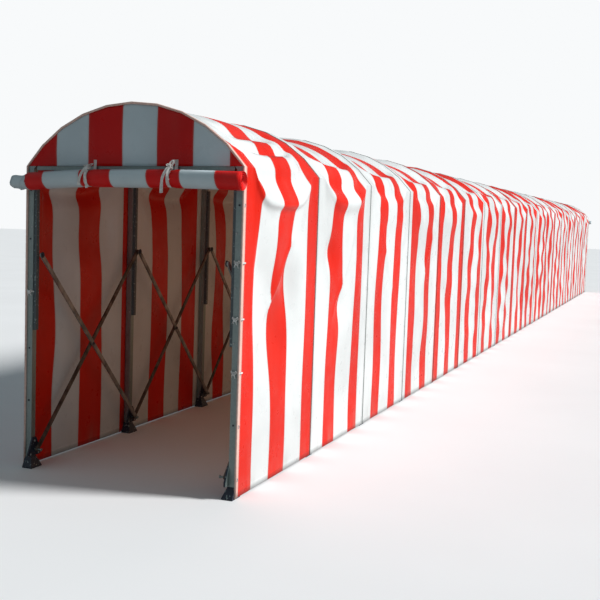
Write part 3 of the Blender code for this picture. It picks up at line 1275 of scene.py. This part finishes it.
        # The two halves meet in one line of points at the crown.
        sides[-1][:, -1] = sides[1][:, -1] = (sides[1][:, -1] + sides[-1][:, -1]) / 2
        points = np.concatenate([sides[1], sides[-1][:, -2::-1]], axis=1)
        across = self.cloth_maps(along[:, None] * TENT.bay, roof, points.shape[:2])
        sheet = grid_piece(self.name, points[::-1], across[::-1])
        Bench.finish(sheet, "SOLIDIFY", thickness=self.thickness, offset=-1.0)
        return Finish.COVER.dress(sheet)

    def cloth_maps(self, distance: np.ndarray, roof: np.ndarray, shape: tuple) -> np.ndarray:
        """The stripe coordinate and the other map values of every point.

        Args:
            distance: The distance of each row from the bay's front hoop.
            roof: The places of the roof's columns, from 0 at the eave to 1 at the crown.
            shape: The counts of rows and columns.

        Returns:
            The four values that grid_piece takes, for each point.
        """
        run = np.linspace(0, self.hem_to_hem, shape[1])[None]
        half = shape[1] // 2
        # Over the left half of the roof, the stripes of the right wall lead to those of the left one.
        lean = np.clip((np.arange(shape[1])[None] - half) / (len(roof) - 1), 0, 1)
        share = np.concatenate([np.zeros(self.wall_steps), roof])
        share = np.concatenate([share, share[-2::-1]])[None]
        right, left = (self.stripe(self.narrowed(distance, share, strips), strips)
                       for strips in (self.first_strips, self.left_strips))
        columns = (right + lean * (left - right), run, distance, run)
        return np.stack([np.broadcast_to(column, shape) for column in columns], axis=-1)

    def wrinkle(self, flat: np.ndarray, away: np.ndarray, along: np.ndarray, side: int,
                start: float) -> np.ndarray:
        """Wrinkle one half of the sheet and put it in the tent.

        Args:
            flat: The half's points as X and Z.
            away: Their distance from the eave.
            along: Their place along the bay, from 0 to 1.
            side: 1 for the right half, -1 for the left one.
            start: The Y of the bay's front hoop.

        Returns:
            The half's points in the tent.
        """
        seed = 100 + 10 * self.index + side
        slope = np.gradient(flat, axis=1)
        slope /= np.linalg.norm(slope, axis=2, keepdims=True)
        outward = np.stack([slope[..., 1], -slope[..., 0]], axis=-1)
        high = flat[..., 1]
        body = np.clip(-away / 0.5, 0, 1) * np.clip((high + 0.15) / 0.6, 0, 1)
        calm = 0.55 if side in self.creases else 1.0
        wall = self.waves(along, away, seed, (0.4, 2.2)) * self.ripple * calm
        wall = wall + self.waves(along, away, seed + 1, (0.0, 0.9)) * self.swell * calm
        wall = wall + self.waves(along, away, seed + 5, (0.2, 1.6), 3.0) * self.swell * self.crumple
        for form in self.creases.get(side, ()):
            wall = wall + form.rise(along * TENT.bay, high)
        roof = self.waves(along, away, seed + 2, (0.3, 1.8)) * self.roof_ripple
        roof = roof * np.clip(away / 0.15, 0, 1)
        crown = np.clip((away[:, -1:] - away) / 0.35, 0, 1)
        lift = wall * body + roof * crown + self.fans(along, away, seed + 3) * crown
        # Low down, the cloth leaves room for the shoes that come up beside it when the tent folds.
        lift = np.maximum(lift * self.loose(along), -self.shoe_room(high))
        drift = self.waves(along, away * 1.3, seed + 4, (0.0, 0.8)) * self.drift
        drift = drift * np.clip(-away / 0.2 + 0.3, 0, 1) * self.loose(along)
        points = flat + outward * lift[..., None]
        depth = np.broadcast_to(start + along * TENT.bay, high.shape) + drift
        return np.stack([side * points[..., 0], depth, points[..., 1]], axis=-1)

    def narrowed(self, distance: np.ndarray, share: np.ndarray, strips: tuple) -> np.ndarray:
        """The distances to read the stripes at, so that the tent's first strip runs out on the roof.

        Args:
            distance: The distance from the bay's front hoop.
            share: The place on the roof, from 0 at the eave to 1 at the crown.
            strips: The widths of the first strips on this side of the tent.

        Returns:
            The distances, the same as the given ones outside the first two strips.
        """
        if self.index:
            return distance
        start, stop = self.run_out
        near = np.clip((share - start) / (stop - start), 0, 1)
        end = strips[0] + near * near * (3 - 2 * near) * (0.96 * self.edge_band - strips[0])
        second = strips[0] + strips[1]
        stretch = (strips[0] - self.edge_band) / np.maximum(end - self.edge_band, 1e-4)
        within = self.edge_band + (distance - self.edge_band) * stretch
        beyond = strips[0] + (distance - end) * strips[1] / (second - end)
        moved = np.where(distance < end, within, beyond)
        return np.where((distance >= self.edge_band) & (distance < second), moved, distance + 0 * share)

    @staticmethod
    def shoe_room(high: np.ndarray) -> np.ndarray:
        """How far inward the cloth may go at a height without meeting a shoe when the tent is folded."""
        return 0.0015 + 0.1 * np.clip(high - 0.09, 0, 1)

    def stripe(self, distance: np.ndarray, strips: tuple) -> np.ndarray:
        """The stripe coordinate at a distance from the bay's front hoop.

        Args:
            distance: The distance in metres.
            strips: The widths of the first strips on this side of the tent.

        Returns:
            The coordinate: from an even number on the cloth is red, from an odd one white, and below
            0 it is the pale edge strip, which stands for the cream piping and partly for a painted
            highlight of the red cloth's gloss.
        """
        first = np.cumsum(strips)
        later = first[-1] + np.cumsum(np.tile(self.later_strips, 40))
        edges = np.concatenate([[-TENT.tube / 2, self.edge_band], first, later])
        return np.interp(distance + self.index * TENT.bay, edges, np.arange(len(edges)) - 1)


@dataclass
class Cover:
    """The striped cover: a sheet for each bay, the seams between them and the piping of its ends.

    The grids say how fine a bay's sheet is: along the bay, on a wall and on half the roof. They get
    coarser from the bays in grid_bays on. The folds are those of the photograph, by bay and by side,
    with 1 for the right wall and -1 for the left one. So are the elbows.
    """

    grid_bays: tuple = (3, 8)
    grids: tuple = ((76, 76, 40), (44, 54, 28), (28, 42, 18))
    seam_radius: float = 0.0032
    piping_radius: float = 0.0078
    first_skew: float = 0.62
    first_crown: tuple = (
        (0.83, 0.034), (0.71, 0.004), (0.58, 0.056), (0.42, 0.018), (0.2, 0.008), (0.0, 0.010),
    )
    folds: dict = field(default_factory=lambda: {
        0: {
            1: (
                Bulge((0.24, 1.26), (0.17, 0.38), -0.036),
                Bulge((0.52, 0.98), (0.20, 0.30), -0.045),
                Bulge((0.78, 1.33), (0.12, 0.24), -0.042),
                Bulge((0.50, 1.62), (0.16, 0.20), 0.020),
                Bulge((1.08, 1.25), (0.18, 0.40), 0.018),
                Crease((0.88, 1.68), (0.44, 1.10), 0.020, 0.026),
                Crease((0.52, 1.22), (0.28, 0.90), 0.014, 0.024),
            ),
            -1: (
                Bulge((0.85, 1.66), (0.50, 0.25), 0.042),
                Bulge((0.60, 1.25), (0.45, 0.22), -0.010),
                Bulge((0.35, 0.90), (0.20, 0.25), -0.012),
            ),
        },
        1: {
            1: (
                Bulge((0.60, 1.45), (0.55, 0.75), 0.020),
                Bulge((0.27, 1.50), (0.13, 0.12), -0.034),
                Bulge((0.52, 1.07), (0.14, 0.13), -0.032),
                Crease((0.85, 1.70), (0.35, 0.95), 0.014, 0.026),
            ),
            -1: (Bulge((0.60, 1.45), (0.50, 0.35), -0.018),),
        },
        2: {1: (Crease((0.25, 1.75), (0.80, 1.10), 0.012, 0.03),)},
        3: {1: (Crease((1.00, 1.70), (0.40, 0.80), 0.014, 0.03),)},
    })
    elbows: dict = field(default_factory=lambda: {
        0: {1: (0.050, 1.830), -1: (0.052, 1.865)},
        1: {1: (0.050, 1.870), -1: (0.046, 1.870)},
        2: {-1: (0.040, 1.880)},
    })

    def build(self) -> list[bpy.types.Object]:
        """Make the whole cover.

        Returns:
            The sheets, from the front to the rear.
        """
        sheets = []
        for index in range(TENT.bays):
            grid = self.grids[sum(index >= bays for bays in self.grid_bays)]
            bay = CoverBay(index, *grid, creases=self.folds.get(index, {}),
                           elbows=self.elbows.get(index, {}), crumple=min(max(index - 2, 0) / 4, 1.0))
            if index == 0:
                bay.skew, bay.crown = self.first_skew, self.first_crown
            sheet = bay.build()
            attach(sheet, TENT.hoop_body(index))
            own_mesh(sheet)
            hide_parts("cover")
            if index:
                self.seam(index)
            if index == 0:
                self.piping(End.FRONT)
            if index == TENT.bays - 1:
                self.piping(End.REAR)
            sheets.append(sheet)
            LOG.info("%s: %d faces", sheet.name, len(sheet.data.polygons))
        return sheets

    @staticmethod
    def outline(outward: float, wall: int = 8, roof: int = 40) -> list[tuple]:
        """The cover's line over a hoop, from the right hem to the left one.

        Args:
            outward: How far outside the hoop it runs.
            wall: How many steps a wall has.
            roof: How many steps half the roof has.

        Returns:
            The points as X and Z.
        """
        line = CoverLine(outward=outward)
        half = line.over_hoop(np.linspace(0, 1, wall + 1), np.linspace(0, 1, roof + 1))
        return [tuple(p) for p in half] + [(-x, z) for x, z in half[-2::-1]]

    def seam(self, index: int) -> bpy.types.Object:
        """The cord in the seam over a hoop between two bays, dark grey-green as painted shade of the shadow
        line along the seam.

        Args:
            index: The hoop's number.

        Returns:
            The cord.
        """
        y = TENT.hoop_y(index)
        path = [(x, y, z) for x, z in self.outline(0.0045)]
        cord = tube_piece(f"cover_seam_{index:02d}", path, self.seam_radius)
        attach(Finish.SEAM.dress(cord), TENT.hoop_body(index))
        return cord

    def piping(self, end: End) -> bpy.types.Object:
        """The cream piping along the cover's end edge.

        Args:
            end: Which end of the tent.

        Returns:
            The piping.
        """
        y = -TENT.tube / 2 - 0.0045
        path = [end.matrix @ Vector((x, y, z)) for x, z in self.outline(0.004)]
        cord = tube_piece(f"{end.value}_cover_piping", path, self.piping_radius, 8)
        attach(Finish.PIPING.dress(cord), end.body)
        return cord


@dataclass
class Gable:
    """The striped panel over the doorway, a little slack in its frame.

    The edges are where its stripes begin, along X.
    """

    bottom: float = 2.032
    face: float = 0.0243
    bulge: float = 0.010
    thickness: float = 0.0014
    columns: int = 71
    rows: int = 19
    edges: tuple = (-0.81, -0.555, -0.314, -0.058, 0.189, 0.443, 0.690, 0.94)

    def build(self, end: End) -> bpy.types.Object:
        """Make the panel of one end.

        Args:
            end: Which end of the tent.

        Returns:
            The panel.
        """
        outline = np.array(Cover.outline(0.0, 1, 60))
        roof = outline[outline[:, 1] > self.bottom]
        xs = np.linspace(roof[:, 0].max(), roof[:, 0].min(), self.columns)
        top = np.interp(xs[::-1], roof[::-1, 0], roof[::-1, 1])[::-1]
        rows = np.linspace(0, 1, self.rows)
        high = self.bottom + (top[:, None] - self.bottom) * rows[None]
        wide = np.broadcast_to(xs[:, None], high.shape)
        slack = np.sin(math.pi * rows)[None] * np.clip((top[:, None] - self.bottom) / 0.3, 0, 1)
        folds = 0.6 + 0.25 * np.sin(9 * wide + 1.0 + 3 * high) + 0.2 * np.sin(23 * wide - 6 * high)
        low = np.clip((high - self.bottom) / 0.08, 0, 1)
        deep = -self.face - self.bulge * slack * folds * low
        points = np.stack([wide, deep, high], axis=-1)
        stripe = np.interp(wide, self.edges, np.arange(len(self.edges)))
        sheet = grid_piece(f"{end.value}_gable_cloth", points, np.stack([stripe, high], axis=-1))
        Bench.finish(sheet, "SOLIDIFY", thickness=self.thickness, offset=0.0)
        sheet.data.transform(end.matrix)
        Finish.GABLE.dress(sheet)
        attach(sheet, end.body)
        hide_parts(f"{end.value}_gable")
        return sheet


@dataclass
class Curtain:
    """The doorway's curtain, rolled up over the door and tied with two tapes.

    The left and right are the roll's ends, and core_left is the end of the cloth at its core, which
    reaches out further. Each tail of a tie has its lean, its length and its width, and each loop of
    a bow the way that it points. The edges are where the stripes begin, along X.
    """

    radius: float = 0.0615
    core: float = 0.008
    pitch: float = 0.0061
    centre: tuple = (-0.0919, 1.953)
    left: float = -0.722
    right: float = 0.812
    core_left: float = -0.846
    tapes: tuple = (-0.26, 0.33)
    thickness: float = 0.0010
    steps_round: int = 22
    columns: int = 67
    last_edge: float = math.radians(60)
    tape_width: float = 0.022
    tape_thickness: float = 0.0014
    tails: dict = field(default_factory=lambda: {
        "left": ((-0.034, 0.118, 0.020), (0.020, 0.135, 0.016)),
        "right": ((-0.030, 0.160, 0.021), (0.014, 0.075, 0.014)),
    })
    bows: dict = field(default_factory=lambda: {
        "left": ((0.022, 0.006, 0.022), (-0.018, -0.010, 0.012)),
        "right": ((0.012, 0.010, 0.044), (-0.014, -0.012, 0.020)),
    })
    edges: tuple = (-0.95, -0.722, -0.585, -0.305, -0.077, 0.183, 0.415, 0.649, 0.90)
    head_half: float = 0.70
    head_line: tuple = (
        (0.012, 2.0035), (-0.006, 2.0035), (-0.018, 2.0005), (-0.0300, 1.993), (-0.0400, 1.987),
        (-0.0480, 1.982),
    )

    def girth(self, x: np.ndarray, turn: np.ndarray) -> np.ndarray:
        """How the roll swells and is pinched, as a share of its radius.

        Args:
            x: The place along the roll.
            turn: The place round it, as an angle.

        Returns:
            The factor on the radius.
        """
        swell = 1.0 + 0.012 * np.sin(7 * x + 2 * np.cos(turn)) - 0.012
        swell = swell + 0.010 * np.sin(19 * x + 2 * turn) * np.cos(turn)
        for tape in self.tapes:
            near = np.exp(-(((x - tape) / 0.035) ** 2))
            swell = swell - 0.14 * near
            gathers = np.cos(5 * turn + 30 * (x - tape)) + 0.6 * np.cos(3 * turn - 55 * (x - tape) + 1)
            swell = swell + 0.026 * np.exp(-((np.abs(x - tape) / 0.085) ** 2)) * gathers
        ragged = np.clip((-0.712 - x) / 0.03, 0, 1)
        return swell - ragged * (0.10 + 0.07 * np.sin(3 * turn + 60 * x) + 0.05 * np.sin(5 * turn))

    def build(self, end: End) -> bpy.types.Object:
        """Roll up the curtain of one end.

        Args:
            end: Which end of the tent.

        Returns:
            The rolled sheet.
        """
        turns = (self.radius - self.core) / self.pitch
        steps = int(turns * self.steps_round)
        angle = np.linspace(0, 2 * math.pi * turns, steps + 1)
        round_at = angle - angle[-1] + self.last_edge
        reach = self.core + self.pitch * angle / (2 * math.pi)
        inner = np.clip((0.87 * self.radius - reach) / (0.1 * self.radius) + 0.5, 0, 1)
        start = self.left + (self.core_left - self.left) * inner + 0.004 * np.sin(angle * 0.7)
        stop = self.right - 0.010 * (1 - reach / self.radius) + 0.004 * np.sin(angle * 0.53 + 1)
        share = np.linspace(0, 1, self.columns)
        x = start[:, None] + (stop - start)[:, None] * share[None]
        turn = np.broadcast_to(round_at[:, None], x.shape)
        far = reach[:, None] * self.girth(x, turn)
        droop = 0.030 * np.clip((-0.25 - x) / 0.55, 0, 1) ** 1.4 + 0.010 * np.clip((x - 0.4) / 0.4, 0, 1)
        high = self.centre[1] - droop + far * np.sin(turn)
        points = np.stack([x, self.centre[0] - far * np.cos(turn), high], -1)
        slant = x + 0.010 * np.sin(turn) + 0.0035 * (angle[-1] - angle)[:, None] / (2 * math.pi)
        stripe = np.interp(slant, self.edges, 1 + np.arange(len(self.edges)))
        length = np.broadcast_to((reach**2 * 80)[:, None], x.shape)
        sheet = grid_piece(f"{end.value}_curtain", points, np.stack([stripe, length], axis=-1))
        Bench.finish(sheet, "SOLIDIFY", thickness=self.thickness, offset=0.0)
        sheet.data.transform(end.matrix)
        Finish.CURTAIN.dress(sheet)
        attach(sheet, end.body)
        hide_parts(f"{end.value}_curtain_roll")
        tapes = [piece for x in self.tapes for piece in self.tie(end, x)]
        self.head(end)
        LOG.info("%s: %d faces", sheet.name, len(sheet.data.polygons))
        return sheet

    def head(self, end: End) -> bpy.types.Object:
        """The strip of the curtain that still hangs from the crossbar behind the roll.

        Args:
            end: Which end of the tent.

        Returns:
            The strip.
        """
        x = np.linspace(-self.head_half, self.head_half, 61)
        line = np.array([tuple(p)[:2] for p in smooth_line([(*p, 0) for p in self.head_line], 3)])
        ripple = 0.0012 * np.sin(31 * x)[:, None] * np.linspace(0, 1, len(line))[None]
        wide = np.broadcast_to(x[:, None], ripple.shape)
        points = np.stack([wide, line[None, :, 0] + ripple, line[None, :, 1] + ripple], axis=-1)
        stripe = np.interp(wide, self.edges, 1 + np.arange(len(self.edges)))
        strip = grid_piece(f"{end.value}_curtain_head", points, np.stack([stripe, points[..., 2]], axis=-1))
        Bench.finish(strip, "SOLIDIFY", thickness=self.thickness, offset=0.0)
        strip.data.transform(end.matrix)
        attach(Finish.CURTAIN.dress(strip), end.body)
        return strip

    def tie(self, end: End, x: float) -> list[bpy.types.Object]:
        """A tape round the roll, with its knot and tails.

        Args:
            end: Which end of the tent.
            x: The tape's place along the roll.

        Returns:
            The tape, the knot and the tails.
        """
        side = "left" if x < 0 else "right"
        y, z = self.centre
        ring = self.radius * 0.86 + 0.0022
        turns = np.radians(np.arange(-150, 121, 15)) + math.radians(90)
        path = [(x, -0.0268, 2.072), (x, -0.0275, 2.03), (x, y + 0.050, z + 0.038)]
        path += [(x, y - ring * math.cos(a), z - ring * math.sin(a)) for a in turns]
        strap = ribbon_piece(f"{end.value}_tie_tape_{side}", smooth_line(path, 2),
                             [(1, 0, 0)] * (2 * len(path) - 1), self.tape_width, 0.0016)
        knot_spot = Vector((x + 0.008, y - 0.026, z + 0.068))
        parts = [self.knot(knot_spot)]
        for lean, reach, width in self.tails[side]:
            line = [knot_spot, knot_spot + Vector((lean * 0.2, -0.024, -0.004)),
                    Vector((x + lean * 0.5, y - 0.070, z + 0.025)),
                    Vector((x + lean * 0.9, y - 0.073, z - 0.015)),
                    Vector((x + lean * 1.1, y - 0.066, z + 0.07 - reach))]
            twist = [(1, 0, 0), (0.9, 0.3, 0), (0.8, 0.5, 0.2), (0.9, -0.1, 0.3), (0.7, 0.6, 0.1)]
            parts.append(ribbon_piece("tail", smooth_line(line, 4), smooth_line(twist, 4), width,
                                      self.tape_thickness))
        for way in self.bows[side]:
            out = Vector(way)
            aside = Vector((0.006, 0.004, 0))
            loop = [knot_spot, knot_spot + out * 0.5 + aside, knot_spot + out,
                    knot_spot + out * 0.55 - aside * 1.6, knot_spot]
            loop = smooth_line(loop, 5)
            parts.append(ribbon_piece("bow", loop, [(0.5, 0.8, 0.2)] * len(loop), 0.016,
                                      self.tape_thickness))
        whole = Bench.join(parts)
        whole.name = f"{end.value}_tie_knot_{side}"
        pieces = [strap, whole]
        for piece in pieces:
            piece.data.transform(end.matrix)
            Finish.TAPE.dress(piece)
            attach(piece, end.body)
            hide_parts(f"{end.value}_tie_{side}")
        return pieces

    @staticmethod
    def knot(spot: Vector) -> bpy.types.Object:
        """The tight middle of a tied tape.

        Args:
            spot: Its middle.

        Returns:
            The knot.
        """
        Bench.clear()
        bpy.ops.mesh.primitive_torus_add(
            location=spot, rotation=(0.5, 1.2, 0.3), major_radius=0.0105, minor_radius=0.0078,
            major_segments=18, minor_segments=10,
        )
        made = bpy.context.object
        bpy.ops.object.mode_set(mode="EDIT")
        bpy.ops.mesh.select_all(action="SELECT")
        bpy.ops.transform.resize(value=(1.15, 0.8, 1.0))
        bpy.ops.mesh.vertices_smooth(factor=0.3)
        bpy.ops.object.mode_set(mode="OBJECT")
        return Bench.settle(made, "knot")


@dataclass
class Lacing:
    """The laces and studs that hold the cover's end edge to the posts.

    The knots and the studs are heights, with 1 for the right post and -1 for the left one. The ring
    is the way of a lace round the right post, with the rise from its knot as the third number.
    """

    knots: dict = field(default_factory=lambda: {1: (1.451, 1.110, 0.781), -1: (1.195,)})
    studs: dict = field(default_factory=lambda: {1: (1.80, 0.46), -1: (1.872, 1.551, 0.817, 0.461)})
    eyelet_heights: tuple = (0.12, 0.45, 0.781, 1.110, 1.451, 1.80, 1.98)
    stud_x: float = 0.760
    eyelet_x: float = 0.7880
    cord: float = 0.0026
    ring: tuple = (
        (0.7925, -0.018, 0), (0.789, -0.0300, 0.002), (0.772, -0.0256, 0.004), (0.742, -0.0252, 0.003),
        (0.7345, -0.018, 0.001), (0.7345, 0.018, -0.003), (0.742, 0.0258, -0.004),
        (0.780, 0.0258, -0.003), (0.7935, 0.018, -0.001),
    )

    def build(self, end: End) -> list[bpy.types.Object]:
        """Make the laces and studs of one end.

        Args:
            end: Which end of the tent.

        Returns:
            The pieces.
        """
        pieces = []
        for side, heights in self.knots.items():
            for number, z in enumerate(heights):
                name = f"{end.value}_lace_{'right' if side > 0 else 'left'}_{number + 1}"
                pieces.append(self.lace(name, side, z))
        for piece in pieces:
            piece.data.transform(end.matrix)
            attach(Finish.LACE.dress(piece), end.body)
        studs = Bench.join([
            Bench.drum(0.0065, 0.004, (side * self.stud_x, -TENT.tube / 2 - 0.002, z), "Y", 14, 0.0012)
            for side, heights in self.studs.items() for z in heights
        ])
        Bench.settle(studs, f"{end.value}_post_studs")
        studs.data.transform(end.matrix)
        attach(Finish.PAINTED.dress(studs), end.body)
        return [*pieces, studs, self.eyelets(end)]

    def lace(self, name: str, side: int, z: float) -> bpy.types.Object:
        """A lace round a post, knotted in front.

        Args:
            name: The piece's name.
            side: 1 for the right post, -1 for the left one.
            z: Its height.

        Returns:
            The lace.
        """
        ring = smooth_line([(side * x, y, z + rise) for x, y, rise in self.ring], 4, True)
        parts = [
            tube_piece("loop", [p + Vector((0, 0, step)) for p in ring], self.cord, closed=True)
            for step in (0.0, 2 * self.cord)
        ]
        spot = Vector((side * 0.758, -0.0335, z))
        Bench.clear()
        bpy.ops.mesh.primitive_torus_add(location=spot, rotation=(1.1, 0.4, 0.2), major_radius=0.0078,
                                         minor_radius=0.0056, major_segments=14, minor_segments=8)
        parts.append(Bench.settle(bpy.context.object, "knot"))
        for lean, drop in ((0.009, -0.030), (-0.012, -0.024)):
            line = [spot, spot + Vector((side * lean * 0.6, -0.006, -0.008)),
                    spot + Vector((side * lean, -0.005, drop * 0.6)),
                    spot + Vector((side * lean * 1.1, 0.001, drop))]
            parts.append(tube_piece("tail", smooth_line(line, 4), self.cord))
        for lean in (0.016, -0.016):
            line = [spot, spot + Vector((lean * 0.6, -0.006, 0.010)), spot + Vector((lean, -0.003, 0.016)),
                    spot + Vector((lean * 1.1, 0.002, 0.004)), spot + Vector((lean * 0.4, 0.001, -0.001))]
            parts.append(tube_piece("bow", smooth_line(line, 4), self.cord))
        whole = Bench.join(parts)
        whole.name = name
        return whole

    def eyelets(self, end: End) -> bpy.types.Object:
        """The eyelets along the cover's end edge.

        Args:
            end: Which end of the tent.

        Returns:
            All the eyelets of the end as one piece.
        """
        Bench.clear()
        bpy.ops.mesh.primitive_torus_add(rotation=(0, math.pi / 2, 0), major_radius=0.0092,
                                         minor_radius=0.0024, major_segments=18, minor_segments=8)
        model = Bench.settle(bpy.context.object, "eyelet")
        made = [
            Bench.copy(model, Matrix.Translation((side * self.eyelet_x, -0.004, z)))
            for side in (1, -1) for z in self.eyelet_heights
        ]
        bpy.data.objects.remove(model)
        whole = Bench.join(made)
        whole.name = f"{end.value}_cover_eyelets"
        whole.data.transform(end.matrix)
        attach(Finish.BOLT.dress(whole), end.body)
        return whole


@dataclass
class Braces:
    """The scissor braces: the moving bars of the first bays dressed, those of the others made.

    The low and the high are the heights of a bar's pivots, and a layer is where the bars lie in X.
    """

    braced_bays: int = 4
    low: float = 0.125
    high: float = 1.445
    depth: float = 0.03
    layers: dict = field(default_factory=lambda: {"a": (0.698, 0.710), "b": (0.680, 0.692)})

    @property
    def length(self) -> float:
        """The distance between a bar's pivots."""
        return math.hypot(TENT.bay, self.high - self.low)

    @property
    def angle(self) -> float:
        """The slope of a bar at rest."""
        return math.atan2(self.high - self.low, TENT.bay)

    def bar(self, layer: str) -> bpy.types.Object:
        """A right-hand bar along +Y from its lower pivot at the origin.

        Args:
            layer: Which of the two layers it lies in.

        Returns:
            The bar with the bolt of its lower pivot.
        """
        near, far = self.layers[layer]
        Bench.clear()
        bpy.ops.mesh.primitive_cube_add(size=1, location=((near + far) / 2, self.length / 2, 0),
                                        scale=(far - near, self.length + self.depth, self.depth))
        bar = bpy.context.object
        bpy.ops.object.transform_apply(location=True, rotation=False, scale=True)
        bpy.ops.object.mode_set(mode="EDIT")
        bpy.ops.mesh.select_mode(type="EDGE")
        form = bmesh.from_edit_mesh(bar.data)
        for edge in form.edges:
            run = edge.verts[0].co - edge.verts[1].co
            edge.select_set(abs(run.x) > 0.005 and abs(run.y) < 0.001)
        bmesh.update_edit_mesh(bar.data)
        bpy.ops.mesh.bevel(offset=self.depth * 0.48, segments=3)
        bpy.ops.object.mode_set(mode="OBJECT")
        bolt = Bench.drum(0.011, 0.005, (near - 0.0025, 0, 0), "X", 6, 0.001)
        whole = Bench.join([bar, bolt])
        return Bench.settle(whole, f"bar_{layer}")

    def fittings(self) -> bpy.types.Object:
        """The crossing bolt and the dark roller of a right-hand light bar, with its pivot at the origin.

        Returns:
            The fittings as one piece.
        """
        face = self.layers["b"][0]
        made = [
            Bench.drum(0.013, 0.002, (face - 0.0013, self.length / 2, 0), "X", 16, 0.0005),
            Bench.drum(0.0095, 0.006, (face - 0.0055, self.length / 2, 0), "X", 6, 0.001),
            Bench.drum(0.0200, 0.005, (face - 0.0028, self.length, 0), "X", 20, 0.0015),
            Bench.drum(0.0095, 0.006, (face - 0.0085, self.length, 0), "X", 6, 0.001),
        ]
        return Bench.settle(Bench.join(made), "fittings")

    def pair(self, model: bpy.types.Object, layer: str, bay: int) -> bpy.types.Object:
        """Copy a right-hand model to both sides of a bay, on the pivots of a layer.

        Args:
            model: The model, along +Y from its lower pivot at the origin.
            layer: Which of the two layers it lies in.
            bay: The bay's number.

        Returns:
            Both copies as one piece.
        """
        foot = TENT.hoop_y(bay if layer == "a" else bay + 1)
        slope = self.angle if layer == "a" else math.pi - self.angle
        turned = Matrix.Translation((0, foot, self.low)) @ Matrix.Rotation(slope, 4, "X")
        right = Bench.copy(model, turned)
        return Bench.join([right, Bench.copy(right, MIRROR_X)])

    def build(self) -> None:
        """Dress the bars of the braced bays and make the bars of the others."""
        finishes = {"a": Finish.BAR_DARK, "b": Finish.BAR_LIGHT}
        for bay in range(self.braced_bays):
            for layer, finish in finishes.items():
                for side in ("left", "right"):
                    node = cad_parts[f"brace_{layer}_{bay + 1:02d}_{side}"]
                    node.material_slots[0].material = finish.material
        models = {layer: self.bar(layer) for layer in self.layers}
        fitting = self.fittings()
        for bay in range(self.braced_bays, TENT.bays):
            for layer, model in models.items():
                pair = self.pair(model, layer, bay)
                pair.name = f"brace_{layer}_{bay + 1:02d}_bars"
                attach(finishes[layer].dress(pair), TENT.hoop_body(bay))
                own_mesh(pair)
        for bay in range(TENT.bays):
            pair = self.pair(fitting, "b", bay)
            pair.name = f"brace_{bay + 1:02d}_fittings"
            Finish.PAINTED.dress(pair)
            if bay < self.braced_bays:
                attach(pair, f"brace_b_{bay + 1:02d}")
            else:
                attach(pair, TENT.hoop_body(bay))
                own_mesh(pair)
        for model in (*models.values(), fitting):
            bpy.data.objects.remove(model)
        LOG.info("braces: %d bays made", TENT.bays - self.braced_bays)


@dataclass
class HoopFrames:
    """The galvanised hoops, with the bolts of their rails and of their brackets."""

    bolt_heights: tuple = (0.965, 1.30, 1.63, 1.940)
    bolt_inset: float = 0.010
    bracket_face: float = 0.726
    bracket_bolts: tuple = ((0.0, 0.182), (-0.044, 0.094), (0.044, 0.094))

    def build(self) -> None:
        """Dress every hoop and give it its bolts."""
        for index in range(TENT.bays + 1):
            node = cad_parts[f"hoop_frame_{index:02d}"]
            node.material_slots[0].material = Finish.HOOP.material
        for end in End:
            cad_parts[f"{end.value}_crossbar"].material_slots[0].material = Finish.CROSSBAR.material
        model = self.bolts()
        for index in range(TENT.bays + 1):
            bolts = Bench.copy(model, Matrix.Translation((0, TENT.hoop_y(index), 0)))
            bolts.name = f"hoop_bolts_{index:02d}"
            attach(Finish.BOLT.dress(bolts), TENT.hoop_body(index))
        bpy.data.objects.remove(model)
        LOG.info("hoops: %d dressed", TENT.bays + 1)

    def bolts(self) -> bpy.types.Object:
        """The bolts of one hoop, about its own middle plane.

        Returns:
            The bolts of both posts.
        """
        x = TENT.post_inside + self.bolt_inset
        made = [
            Bench.drum(0.0065, 0.005, (side * x, -TENT.tube / 2 - 0.0025, z), "Y", 6, 0.001)
            for side in (1, -1) for z in self.bolt_heights
        ]
        made += [
            Bench.drum(0.0075, 0.0045, (side * (self.bracket_face - 0.0023), y, z), "X", 6, 0.001)
            for side in (1, -1) for y, z in self.bracket_bolts
        ]
        return Bench.settle(Bench.join(made), "hoop_bolts")


def main() -> None:
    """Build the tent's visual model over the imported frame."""
    logging.basicConfig(level=logging.INFO, format="%(name)s: %(message)s")
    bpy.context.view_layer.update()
    Studio().build()
    HoopFrames().build()
    Braces().build()
    Cover().build()
    for end in End:
        Gable().build(end)
        Curtain().build(end)
        Lacing().build(end)
        LOG.info("%s end dressed", end.value)


if __name__ == "__main__":
    main()
